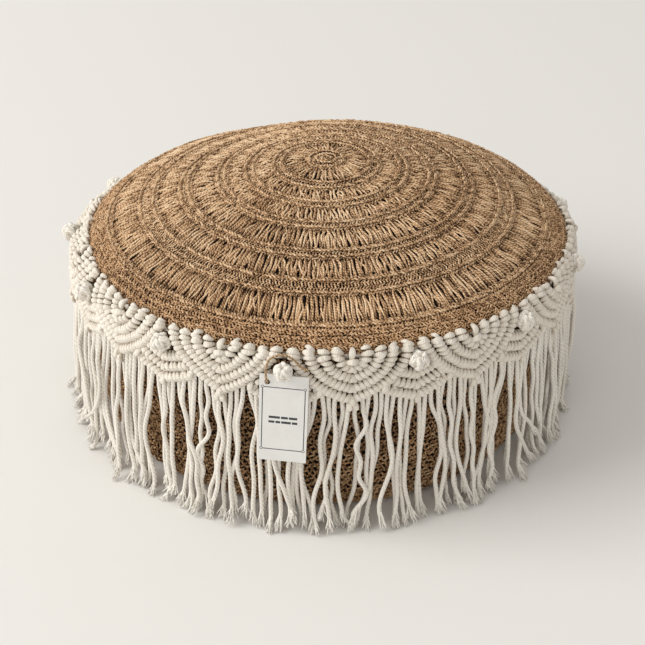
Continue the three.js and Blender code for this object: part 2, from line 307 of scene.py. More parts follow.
def add_piece(name: str, mesh: Mesh) -> Piece:
    """Put a mesh in the scene as an object of the same name, at the origin."""
    mesh.name = name
    piece = bpy.data.objects.new(name, mesh)
    bpy.context.scene.collection.objects.link(piece)
    return piece


def drop(piece: Piece) -> None:
    """Remove an object and its mesh."""
    mesh = piece.data
    bpy.data.objects.remove(piece)
    bpy.data.meshes.remove(mesh)


class Pattern:
    """A Geometry Nodes tree with named inputs, run on a guide and kept as a plain mesh."""

    GUIDE_ONLY = ("along", "out", "grow", "thick")

    def __init__(self, name: str) -> None:
        """Start the tree with its geometry sockets."""
        self.tree = bpy.data.node_groups.new(name, "GeometryNodeTree")
        self.graph = Graph(self.tree)
        self.tree.interface.new_socket("Geometry", in_out="INPUT", socket_type="NodeSocketGeometry")
        self.tree.interface.new_socket("Geometry", in_out="OUTPUT", socket_type="NodeSocketGeometry")
        self.entry = self.tree.nodes.new("NodeGroupInput")

    def size(self, name: str, default: float | int | None = None, kind: str = "Float") -> Wire:
        """Add a named input.

        Args:
            name: what it sets.
            default: its value unless one is given.
            kind: Float, Int or Material.

        Returns:
            The input inside the tree.
        """
        socket = self.tree.interface.new_socket(name, in_out="INPUT", socket_type="NodeSocket" + kind)
        if default is not None:
            socket.default_value = default
        return Wire(self.graph, self.graph.find(self.entry.outputs, name))

    def guide(self) -> Wire:
        """The guide geometry that the tree starts from."""
        return Wire(self.graph, self.entry.outputs[0])

    def held(self, name: str, kind: str = "FLOAT") -> Wire:
        """Read a number or vector held on the geometry."""
        return self.graph.add("GeometryNodeInputNamedAttribute", {"data_type": kind}, {"Name": name})

    def hold(self, geometry: Wire, name: str, value: "Wire | float") -> Wire:
        """Keep a number on the geometry's points for the finish to read."""
        return self.graph.add("GeometryNodeStoreNamedAttribute", {"data_type": "FLOAT", "domain": "POINT"},
                              {"Geometry": geometry, "Name": name, "Value": value})

    def section(self, sides: Wire, plies: Wire, depth: Wire) -> Wire:
        """Make a yarn's cross-section.

        Args:
            sides: corners round it.
            plies: strands laid together, seen as lobes.
            depth: lobe depth as a share of the radius.

        Returns:
            A closed curve of radius one that holds the lobes and the place round it.
        """
        g = self.graph
        ring = g.add("GeometryNodeCurvePrimitiveCircle", {"mode": "RADIUS"},
                     {"Resolution": sides, "Radius": 1.0})
        place = g.add("GeometryNodeInputPosition")
        x = g.add("ShaderNodeSeparateXYZ", {}, {"Vector": place})
        angle = g.math("ARCTAN2", x.other("Y"), x)
        for name, operation, phase in (("lobe", "COSINE", angle * plies), ("lobe_s", "SINE", angle * plies),
                                       ("turn_c", "COSINE", angle), ("turn_s", "SINE", angle)):
            ring = self.hold(ring, name, g.math(operation, phase))
        reach = self.held("lobe") * depth + 1.0
        moved = g.add("ShaderNodeVectorMath", {"operation": "SCALE"}, {"Vector": place, "Scale": reach})
        return g.add("GeometryNodeSetPosition", {}, {"Geometry": ring, "Position": moved})

    def tube(self, curve: Wire, section: Wire) -> Wire:
        """Sweep a section along a curve at the curve's own radius, with closed ends."""
        return self.graph.add("GeometryNodeCurveToMesh", {}, {
            "Curve": curve, "Profile Curve": section, "Fill Caps": True,
            "Scale": self.graph.add("GeometryNodeInputRadius")})

    def stray(self, low: "Wire | float", high: "Wire | float", seed: Wire) -> Wire:
        """A random number for each point, between two limits."""
        return self.graph.add("FunctionNodeRandomValue", {"data_type": "FLOAT"},
                              {"Min_001": low, "Max_001": high, "Seed": seed}, "Value_001")

    def close(self, geometry: Wire, material: Wire) -> None:
        """End the tree in real geometry with its material."""
        g = self.graph
        smooth = g.add("GeometryNodeSetShadeSmooth", {}, {"Geometry": geometry})
        real = g.add("GeometryNodeRealizeInstances", {}, {"Geometry": smooth})
        dressed = g.add("GeometryNodeSetMaterial", {}, {"Geometry": real, "Material": material})
        end = self.tree.nodes.new("NodeGroupOutput")
        self.tree.links.new(dressed.socket, end.inputs[0])

    def run(self, name: str, guide: Mesh, finish: "Finish", **sizes: object) -> Piece:
        """Run the tree on a guide and keep the result.

        Args:
            name: the piece's name.
            guide: the guide mesh, which is used up.
            finish: what it's dressed in.
            sizes: inputs by name, with underscores for spaces.

        Returns:
            The finished piece, a plain mesh with its material.
        """
        carrier = add_piece(name + "_guide", guide)
        modifier = carrier.modifiers.new("Pattern", "NODES")
        modifier.node_group = self.tree
        entries = [entry for entry in self.tree.interface.items_tree if entry.in_out == "INPUT"]
        sockets = {entry.name.lower(): entry.identifier for entry in entries}
        for key, value in (sizes | {"material": finish.material}).items():
            modifier[sockets[key.replace("_", " ")]] = value
        graph = bpy.context.evaluated_depsgraph_get()
        mesh = bpy.data.meshes.new_from_object(carrier.evaluated_get(graph), preserve_all_data_layers=True,
                                               depsgraph=graph)
        carrier.modifiers.remove(modifier)
        drop(carrier)
        for key in self.GUIDE_ONLY:
            if key in mesh.attributes:
                mesh.attributes.remove(mesh.attributes[key])
        return add_piece(name, mesh)


class SweptYarn(Pattern):
    """Yarn swept along each line of the guide, with its plies twisted round it."""

    def __init__(self) -> None:
        """Build the tree."""
        super().__init__("Swept yarn")
        g = self.graph
        radius = self.size("Yarn Radius", 0.001)
        sides = self.size("Sides", 6, "Int")
        plies = self.size("Plies", 3, "Int")
        depth = self.size("Ply Depth", 0.1)
        twist = self.size("Twist", 300.0)
        material = self.size("Material", kind="Material")
        line = g.add("GeometryNodeMeshToCurve", {}, {"Mesh": self.guide()})
        line = g.add("GeometryNodeSetCurveTilt", {}, {"Curve": line, "Tilt": self.held("run") * twist})
        line = g.add("GeometryNodeSetCurveRadius", {}, {
            "Curve": line, "Radius": self.held("thick") * radius})
        self.close(self.tube(line, self.section(sides, plies, depth)), material)


class Follow(Enum):
    """Where stitches stand."""

    POINTS = "one at each point of the guide"
    ROWS = "one after another along each line of the guide"


class Stitches(Pattern):
    """One arched stitch repeated over the guide."""

    def __init__(self, follow: Follow) -> None:
        """Build the tree.

        Args:
            follow: whether the guide is loose points, which hold along, out and grow, or lines.
        """
        super().__init__(f"Stitches on {follow.name.lower()}")
        g = self.graph
        length = self.size("Stitch Length", 0.008)
        rise = self.size("Rise", 0.001)
        sway = self.size("Sway", 0.0)
        radius = self.size("Yarn Radius", 0.001)
        taper = self.size("Taper", 0.5)
        sides = self.size("Sides", 4, "Int")
        stations = self.size("Stations", 5, "Int")
        plies = self.size("Plies", 1, "Int")
        depth = self.size("Ply Depth", 0.0)
        slant = self.size("Slant", 0.0)
        wander = self.size("Turn Jitter", 0.15)
        pitch = self.size("Pitch", 0.004)
        core = self.size("Core Radius", 0.002)
        seed = self.size("Seed", 1, "Int")
        material = self.size("Material", kind="Material")

        line = g.add("GeometryNodeCurvePrimitiveLine", {}, {"Start": (0, 0, 0), "End": (1, 0, 0)})
        line = g.add("GeometryNodeResampleCurve", {"mode": "COUNT"}, {"Curve": line, "Count": stations})
        t = g.add("GeometryNodeSplineParameter", output="Factor")
        crest = g.math("SINE", t * math.pi)
        line = self.hold(line, "run", t * length)
        # Painted shade: each stitch is darker towards its ends, where it dives under its neighbours.
        line = self.hold(line, "dip", 1.0 - crest)
        line = g.add("GeometryNodeSetCurveRadius", {}, {
            "Curve": line, "Radius": radius * (taper + (1.0 - taper) * crest)})
        place = g.add("ShaderNodeCombineXYZ", {}, {
            "X": (t - 0.5) * length, "Y": sway * g.math("SINE", t * TURN), "Z": rise * crest})
        line = g.add("GeometryNodeSetPosition", {}, {"Geometry": line, "Position": place})
        section = self.section(sides, plies, depth)
        stitch = self.tube(line, section)

        out = self.held("out", "FLOAT_VECTOR")
        if follow is Follow.ROWS:
            spots = g.add("GeometryNodeMeshToCurve", {}, {"Mesh": self.guide()})
            thin = g.add("GeometryNodeSetCurveRadius", {}, {"Curve": spots, "Radius": core})
            # The core rope is painted in full shade, as it lies under the wraps.
            rope = self.hold(self.tube(thin, section), "dip", 1.0)
            spots = g.add("GeometryNodeResampleCurve", {"mode": "LENGTH"}, {"Curve": spots, "Length": pitch})
            facing = g.add("FunctionNodeAxesToRotation", {"primary_axis": "Z", "secondary_axis": "Y"},
                           {"Primary Axis": out, "Secondary Axis": g.add("GeometryNodeInputTangent")})
        else:
            spots = self.guide()
            facing = g.add("FunctionNodeAxesToRotation", {"primary_axis": "Z", "secondary_axis": "X"},
                           {"Primary Axis": out, "Secondary Axis": self.held("along", "FLOAT_VECTOR")})
        swing = self.stray(wander * -1.0, wander, seed)
        tip = self.stray(wander * -0.5, wander * 0.5, seed + 1.0)
        turn = g.add("ShaderNodeCombineXYZ", {}, {"Y": tip, "Z": swing + slant * self.held("lean")})
        facing = g.add("FunctionNodeRotateRotation", {"rotation_space": "LOCAL"}, {
            "Rotation": facing, "Rotate By": g.add("FunctionNodeEulerToRotation", {}, {"Euler": turn})})
        spots = self.hold(spots, "shade", self.stray(0.0, 1.0, seed + 2.0))
        laid = g.add("GeometryNodeInstanceOnPoints", {}, {
            "Points": spots, "Instance": stitch, "Rotation": facing,
            "Scale": self.held("grow", "FLOAT_VECTOR")})
        if follow is Follow.ROWS:
            laid = g.add("GeometryNodeJoinGeometry", {}, {"Geometry": [laid, rope]})
        self.close(laid, material)


# ---------------------------------------------------------------- finishes


class Finish:
    """A material built from nodes."""

    def __init__(self, name: str, roughness: float, plain: Colour, sheen: float = 0.0) -> None:
        """Start the material.

        Args:
            name: what it is.
            roughness: its plain roughness.
            plain: its mean colour, for viewers that read no nodes.
            sheen: soft light that fine fibres catch.
        """
        self.material = bpy.data.materials.new(name)
        self.material.use_nodes = True
        self.material.diffuse_color = (*plain, 1.0)
        self.graph = Graph(self.material.node_tree)
        self.shader = self.material.node_tree.nodes["Principled BSDF"]
        self.shader.inputs["Base Color"].default_value = (*plain, 1.0)
        self.shader.inputs["Roughness"].default_value = roughness
        self.shader.inputs["Specular IOR Level"].default_value = 0.3
        self.shader.inputs["Sheen Weight"].default_value = sheen
        self.shader.inputs["Sheen Roughness"].default_value = 0.5
        self.coords = self.graph.add("ShaderNodeTexCoord", output="Object")

    def feed(self, **wires: Wire) -> None:
        """Link wires to the shader's sockets, named with underscores for spaces."""
        for key, wire in wires.items():
            socket = self.graph.find(self.shader.inputs, key.replace("_", " "))
            self.graph.tree.links.new(wire.socket, socket)

    def bump(self, height: Wire, distance: float, strength: float = 1.0) -> Wire:
        """A normal from a height."""
        return self.graph.add("ShaderNodeBump", {}, {"Height": height, "Distance": distance,
                                                     "Strength": strength}, "Normal")

    def twisted(self, pitch: float) -> Wire:
        """Fibre lines that wind round a yarn, -1 to 1, once in each pitch."""
        g = self.graph
        phase = g.attribute("run") * (TURN / pitch)
        return (g.math("SINE", phase) * g.attribute("turn_c")
                + g.math("COSINE", phase) * g.attribute("turn_s"))

    def plied(self, repeat: float) -> Wire:
        """Plies laid slantwise round a cord, -1 in their grooves and 1 on their backs.

        Args:
            repeat: distance along the cord from one ply to the next, or 0 where the mesh has its own.

        Returns:
            The height of the plies.
        """
        g = self.graph
        if repeat == 0:
            return g.attribute("lobe")
        phase = g.attribute("run") * (TURN / repeat)
        return (g.math("COSINE", phase) * g.attribute("lobe")
                - g.math("SINE", phase) * g.attribute("lobe_s"))

    def dress(self, piece: Piece) -> None:
        """Give a piece this finish in every slot."""
        if not piece.material_slots:
            piece.data.materials.append(self.material)
        for place in piece.material_slots:
            place.link = "OBJECT"
            place.material = self.material


@dataclass(frozen=True)
class GrassTones:
    """Colours of a grass yarn from its darkest, partly painted shade in the gaps between strands, to its
    brightest fibres.
    """

    # The darkest colour: painted shade in the gaps where strands dive under, and the darkest strands' own
    # tone.
    gap: Colour
    low: Colour
    mid: Colour
    light: Colour
    bright: Colour


TOP_TONES = GrassTones((0.034, 0.017, 0.009), (0.175, 0.096, 0.046), (0.495, 0.307, 0.166),
                       (0.77, 0.545, 0.335), (0.93, 0.745, 0.53))
EDGE_TONES = GrassTones((0.022, 0.011, 0.006), (0.14, 0.071, 0.032), (0.45, 0.266, 0.135),
                        (0.72, 0.485, 0.285), (0.86, 0.66, 0.45))
SIDE_TONES = GrassTones((0.024, 0.012, 0.006), (0.165, 0.086, 0.040), (0.44, 0.258, 0.130),
                        (0.64, 0.425, 0.240), (0.80, 0.59, 0.38))


def grass_yarn(name: str, tones: GrassTones) -> Finish:
    """Twisted grass yarn: dry, each strand its own tone, with painted shade where it dives under the next.

    Args:
        name: material name.
        tones: its colours.

    Returns:
        The finish.
    """
    finish = Finish(name, 0.72, tones.mid)
    g = finish.graph
    shade = g.attribute("shade")
    patch = g.noise(finish.coords, 11.0, 3.0)
    grain = g.noise(finish.coords, 700.0, 2.0)
    twist = finish.twisted(0.0036)
    dip = g.attribute("dip")
    # Painted shade: the tone drops where a strand dives under its neighbours.
    tone = shade * 0.46 + patch * 0.34 + grain * 0.46 + twist * 0.20 - dip * 0.40
    colour = g.ramp(tone, [(0.04, tones.gap), (0.24, tones.low), (0.47, tones.mid), (0.68, tones.light),
                           (0.95, tones.bright)])
    warm = g.noise(g.vector("ADD", finish.coords, (3.1, 1.7, 0.4)), 6.0, 1.0)
    warmer = g.blend(1.0, colour, (1.0, 0.86, 0.70, 1.0), "MULTIPLY")
    colour = g.blend(warm * 0.55, colour, warmer)
    finish.feed(Base_Color=colour, Roughness=0.62 + grain * 0.28,
                Normal=finish.bump(twist * 0.5 + grain, 0.0005, 0.8))
    return finish


def cotton_cord(name: str, ply_repeat: float, groove_shade: float, crease_shade: float = 0.0) -> Finish:
    """Soft natural cotton cord with visible plies and fine fibres, and painted shade in its ply grooves, on
    the flanks of its turns and where it lies under other cords.

    Args:
        name: material name.
        ply_repeat: distance from one ply to the next, or 0 where the mesh has its own.
        groove_shade: painted shade in the grooves between plies, 0 to 1.
        crease_shade: painted shade on the flanks where one turn lies against the next, 0 to 1.

    Returns:
        The finish.
    """
    finish = Finish(name, 0.9, (0.78, 0.72, 0.63), sheen=0.25)
    g = finish.graph
    lobe = finish.plied(ply_repeat) * 0.5 + 0.5
    fibre = finish.twisted(0.0016)
    fuzz = g.noise(finish.coords, 900.0, 3.0)
    patch = g.noise(finish.coords, 22.0, 2.0)
    dip = g.attribute("dip")
    side = g.math("ABSOLUTE", g.attribute("turn_c"))
    # Painted shade: darker in the ply grooves, where the cord lies under others, and on the flanks of each
    # turn.
    tone = (lobe * groove_shade + fuzz * 0.32 + patch * 0.22 + fibre * 0.05 + (0.58 - groove_shade) - dip * 0.22
            - side * side * side * crease_shade + g.attribute("shade") * 0.10)
    colour = g.ramp(tone, [(0.05, (0.35, 0.285, 0.21)), (0.32, (0.65, 0.575, 0.475)),
                           (0.56, (0.85, 0.79, 0.70)), (0.88, (0.94, 0.90, 0.83))])
    relief = finish.bump(lobe + fibre * 0.12 + fuzz * 0.35, 0.0009, 0.9)
    finish.feed(Base_Color=colour, Roughness=0.84 + fuzz * 0.14, Normal=relief)
    return finish


def woven_cloth(name: str, dark: Colour, light: Colour, thread: float) -> Finish:
    """Plain woven cloth.

    Args:
        name: material name.
        dark: colour between threads.
        light: colour of the threads.
        thread: width of one thread.

    Returns:
        The finish.
    """
    finish = Finish(name, 0.92, light, sheen=0.1)
    g = finish.graph
    axes = g.add("ShaderNodeSeparateXYZ", {}, {"Vector": finish.coords})
    rate = math.pi / thread
    weave = (g.math("SINE", axes * rate) * g.math("SINE", axes.other("Y") * rate)
             + g.math("SINE", axes.other("Z") * rate) * 0.6)
    fuzz = g.noise(finish.coords, 500.0)
    colour = g.ramp(weave * 0.22 + fuzz * 0.5 + 0.2, [(0.15, dark), (0.85, light)])
    finish.feed(Base_Color=colour, Roughness=0.85 + fuzz * 0.12, Normal=finish.bump(weave, 0.0003))
    return finish


def card_stock() -> Finish:
    """Uncoated white card with faint fibres."""
    finish = Finish("Uncoated card", 0.75, (0.86, 0.855, 0.83))
    g = finish.graph
    fibre = g.noise(finish.coords, 1400.0, 4.0)
    mottle = g.noise(finish.coords, 90.0, 2.0)
    colour = g.ramp(fibre * 0.5 + mottle * 0.5, [(0.3, (0.77, 0.76, 0.73)), (0.7, (0.85, 0.843, 0.82))])
    finish.feed(Base_Color=colour, Roughness=0.68 + fibre * 0.2, Normal=finish.bump(fibre, 0.00006))
    return finish


def printing_ink() -> Finish:
    """Matt dark ink that lets a little paper grain through."""
    finish = Finish("Dark ink", 0.7, (0.05, 0.05, 0.055))
    g = finish.graph
    speck = g.noise(finish.coords, 1800.0, 2.0)
    colour = g.ramp(speck, [(0.35, (0.035, 0.035, 0.04)), (0.75, (0.11, 0.11, 0.12))])
    finish.feed(Base_Color=colour, Roughness=0.6 + speck * 0.2)
    return finish


def jute_twine() -> Finish:
    """Brown jute twine with pale and dark fibres."""
    finish = Finish("Jute twine", 0.85, (0.36, 0.23, 0.12))
    g = finish.graph
    twist = finish.twisted(0.003)
    fuzz = g.noise(finish.coords, 1500.0, 3.0)
    # The lobe term is painted shade: darker in the grooves between the plies.
    tone = twist * 0.12 + fuzz * 0.6 + g.attribute("lobe") * 0.16 + 0.2
    colour = g.ramp(tone, [(0.1, (0.13, 0.072, 0.034)), (0.45, (0.40, 0.25, 0.125)),
                           (0.8, (0.66, 0.48, 0.29))])
    finish.feed(Base_Color=colour, Roughness=0.75 + fuzz * 0.2, Normal=finish.bump(fuzz + twist, 0.0003))
    return finish


def aged_brass() -> Finish:
    """Antique brass with patches of dark film and fine scuffs."""
    finish = Finish("Antique brass", 0.38, (0.42, 0.30, 0.13))
    finish.shader.inputs["Metallic"].default_value = 1.0
    g = finish.graph
    film = g.noise(finish.coords, 260.0, 4.0)
    scuff = g.noise(g.vector("MULTIPLY", finish.coords, (300.0, 2600.0, 2600.0)), 1.0, 2.0)
    colour = g.ramp(film, [(0.3, (0.16, 0.10, 0.04)), (0.6, (0.46, 0.33, 0.15)), (0.85, (0.62, 0.47, 0.24))])
    finish.feed(Base_Color=colour, Roughness=0.28 + film * 0.25 + scuff * 0.1,
                Normal=finish.bump(scuff, 0.00004))
    return finish


def open_foam() -> Finish:
    """Open-cell cushion foam."""
    finish = Finish("Open-cell foam", 0.95, (0.80, 0.73, 0.50))
    g = finish.graph
    cells = g.add("ShaderNodeTexVoronoi", {}, {"Vector": finish.coords, "Scale": 420.0}, "Distance")
    # Painted shade: the cells' hollows are darker.
    colour = g.ramp(cells, [(0.1, (0.52, 0.43, 0.24)), (0.55, (0.83, 0.77, 0.55))])
    finish.feed(Base_Color=colour, Roughness=0.98 - cells * 0.1, Normal=finish.bump(cells, 0.0008))
    return finish


def loose_fibre() -> Finish:
    """Loose white filling fibre."""
    finish = Finish("Filling fibre", 0.95, (0.86, 0.85, 0.82), sheen=0.3)
    g = finish.graph
    wisp = g.noise(g.vector("MULTIPLY", finish.coords, (1.0, 1.0, 3.0)), 160.0, 6.0)
    colour = g.ramp(wisp, [(0.3, (0.66, 0.65, 0.62)), (0.7, (0.92, 0.915, 0.90))])
    finish.feed(Base_Color=colour, Roughness=0.9 + wisp * 0.08, Normal=finish.bump(wisp, 0.002))
    return finish


def studio_paper() -> Finish:
    """Seamless pale studio paper."""
    finish = Finish("Studio paper", 0.9, (0.85, 0.835, 0.805))
    finish.shader.inputs["Specular IOR Level"].default_value = 0.1
    g = finish.graph
    soft = g.noise(finish.coords, 0.8, 2.0)
    colour = g.ramp(soft, [(0.2, (0.845, 0.83, 0.80)), (0.8, (0.855, 0.84, 0.81))])
    finish.feed(Base_Color=colour)
    return finish


# ---------------------------------------------------------------- studio


@dataclass
class Studio:
    """Camera, pale floor and soft light. The lamps are aimed at a point above the floor's middle."""

    turn: float = math.radians(7.25)
    stand: Triple = (0.0023, -1.5166, 1.0283)
    slope: float = math.radians(32.1)
    lens: float = 83.3
    aim_height: float = 0.12

    def place_camera(self) -> None:
        """Stand the camera a little right of the tag, looking down at the top."""
        camera = bpy.data.objects.new("Camera", bpy.data.cameras.new("Camera"))
        camera.data.lens = self.lens
        camera.data.sensor_width = 36.0
        camera.data.clip_start = 0.05
        camera.data.clip_end = 60.0
        x, y, z = self.stand
        c, s = math.cos(self.turn), math.sin(self.turn)
        camera.location = (x * c - y * s, x * s + y * c, z)
        camera.rotation_euler = (math.pi / 2 - self.slope, 0.0, self.turn)
        bpy.context.scene.collection.objects.link(camera)
        bpy.context.scene.camera = camera

    def lay_floor(self) -> None:
        """A wide pale floor."""
        half = 9.0
        mesh = bpy.data.meshes.new("studio_floor")
        mesh.from_pydata([(-half, -half, 0), (half, -half, 0), (half, half, 0), (-half, half, 0)], [],
                         [(0, 1, 2, 3)])
        floor = add_piece("studio_floor", mesh)
        studio_paper().dress(floor)

    def _lamp(self, name: str, size: float, watts: float, spot: Triple,
              colour: Colour) -> None:
        """A square soft light aimed at the middle of the cushion."""
        light = bpy.data.lights.new(name, "AREA")
        light.shape = "SQUARE"
        light.size = size
        light.energy = watts
        light.color = colour
        lamp = bpy.data.objects.new(name, light)
        lamp.location = spot
        aim = np.array([0.0, 0.0, self.aim_height]) - np.array(spot)
        flat = math.hypot(aim[0], aim[1])
        lamp.rotation_euler = (math.atan2(flat, -aim[2]), 0.0, math.atan2(-aim[0], aim[1]))
        bpy.context.scene.collection.objects.link(lamp)

    def light(self) -> None:
        """Soft key from the upper left, weaker fill from the right and an even surround."""
        self._lamp("Key", 5.4, 455.0, (-6.2, -1.5, 4.6), (1.0, 0.990, 0.968))
        self._lamp("Fill", 2.4, 9.5, (-0.4, -3.2, 1.3), (1.0, 0.985, 0.965))
        world = bpy.data.worlds.new("Surround")
        world.use_nodes = True
        back = world.node_tree.nodes["Background"]
        back.inputs["Color"].default_value = (1.0, 0.979, 0.942, 1.0)
        back.inputs["Strength"].default_value = 0.57
        bpy.context.scene.world = world
        bpy.context.scene.view_settings.view_transform = "Standard"


# ---------------------------------------------------------------- cushion form


@dataclass
class Spot:
    """Places on the cushion's surface with their directions."""

    at: Array
    out: Array
    around: Array
    down: Array

    def heading(self, angle: Array | float) -> Array:
        """A direction on the surface, turned from around towards down."""
        angle = np.broadcast_to(np.asarray(angle, dtype=float), self.at.shape[:-1])[..., None]
        return self.around * np.cos(angle) + self.down * np.sin(angle)


def unit(vectors: Array) -> Array:
    """Scale vectors to length one."""
    return vectors / np.maximum(np.linalg.norm(vectors, axis=-1, keepdims=True), 1e-12)


def polar(azimuth: Array, radius: Array | float, height: Array | float) -> Array:
    """Places from azimuth, radius and height."""
    azimuth = np.asarray(azimuth, dtype=float)
    shape = np.broadcast(azimuth, radius, height).shape
    return np.stack([np.broadcast_to(radius * np.sin(azimuth), shape),
                     np.broadcast_to(-radius * np.cos(azimuth), shape),
                     np.broadcast_to(height, shape)], axis=-1)


@dataclass(frozen=True)
class HandStuffed:
    """How the stuffed cushion departs from a round one, by azimuth.

    Attributes:
        facing: azimuth that the other angles are measured from.
        slid: how far the top has slid to the right of that.
        right_bulge: how far the top bulges at the right.
        band_right: how far the band stands out at the right.
        band_left: how far it stands out at the left.
        band_lean: how far its top leans in again at the left.
        band_drop: how much lower it hangs round the back.
        rim_sag: how far the rim sags at the back left.
        back_from: angle from the facing side at which the band begins to hang lower.
        back_over: angle over which it does so.
        bump_half: half width of the bumps at the left and right, in degrees.
        sag_at: middle of the sag, in degrees from the facing side.
        sag_half: its half width, in degrees.
        top_radius: radius at which the top's moves are whole.
    """

    facing: float = math.radians(7.25)
    slid: float = 0.0065
    right_bulge: float = 0.0040
    band_right: float = 0.0100
    band_left: float = 0.0040
    band_lean: float = 0.0120
    band_drop: float = 0.0110
    rim_sag: float = 0.0065
    back_from: float = math.radians(93)
    back_over: float = math.radians(32)
    bump_half: float = 42.0
    sag_at: float = 199.0
    sag_half: float = 50.0
    top_radius: float = 0.27

    def near(self, azimuth: Array, middle: float, half: float) -> Array:
        """A smooth bump round the cushion.

        Args:
            azimuth: where to read it.
            middle: where it is 1, in degrees from the facing side.
            half: how far from there it has mostly gone, in degrees.

        Returns:
            The bump's values.
        """
        turned = np.asarray(azimuth, dtype=float) - self.facing - math.radians(middle)
        away = (turned + math.pi) % TURN
        return np.exp(-((away - math.pi) / math.radians(half)) ** 2)

    def shift(self, azimuth: Array, radius: Array) -> Array:
        """How far the top has slid and bulged, as a move of each place."""
        share = np.clip(radius / self.top_radius, 0, 1)
        push = self.right_bulge * self.near(azimuth, 90, self.bump_half) * share ** 3
        sag = self.rim_sag * self.near(azimuth, self.sag_at, self.sag_half) * share ** 4
        move = polar(azimuth, push, -sag)
        move[..., 0] += self.slid * math.cos(self.facing)
        move[..., 1] += self.slid * math.sin(self.facing)
        return move

    def lowered(self, azimuth: Array) -> Array:
        """How far the band's top hangs lower round the back."""
        away = np.abs((np.asarray(azimuth, dtype=float) - self.facing + math.pi) % TURN - math.pi)
        t = np.clip((away - self.back_from) / self.back_over, 0, 1)
        return self.band_drop * t * t * (3 - 2 * t)

    def stand_out(self, azimuth: Array, height: Array) -> Array:
        """How much further out the band stands at a height in millimetres."""
        lean_from, lean_over = 198.0, 12.0
        left, right = (self.near(azimuth, side, self.bump_half) for side in (-90, 90))
        top = np.clip((np.asarray(height, dtype=float) - lean_from) / lean_over, 0, 1)
        return self.band_right * right + left * (self.band_left - self.band_lean * top)


HAND = HandStuffed()


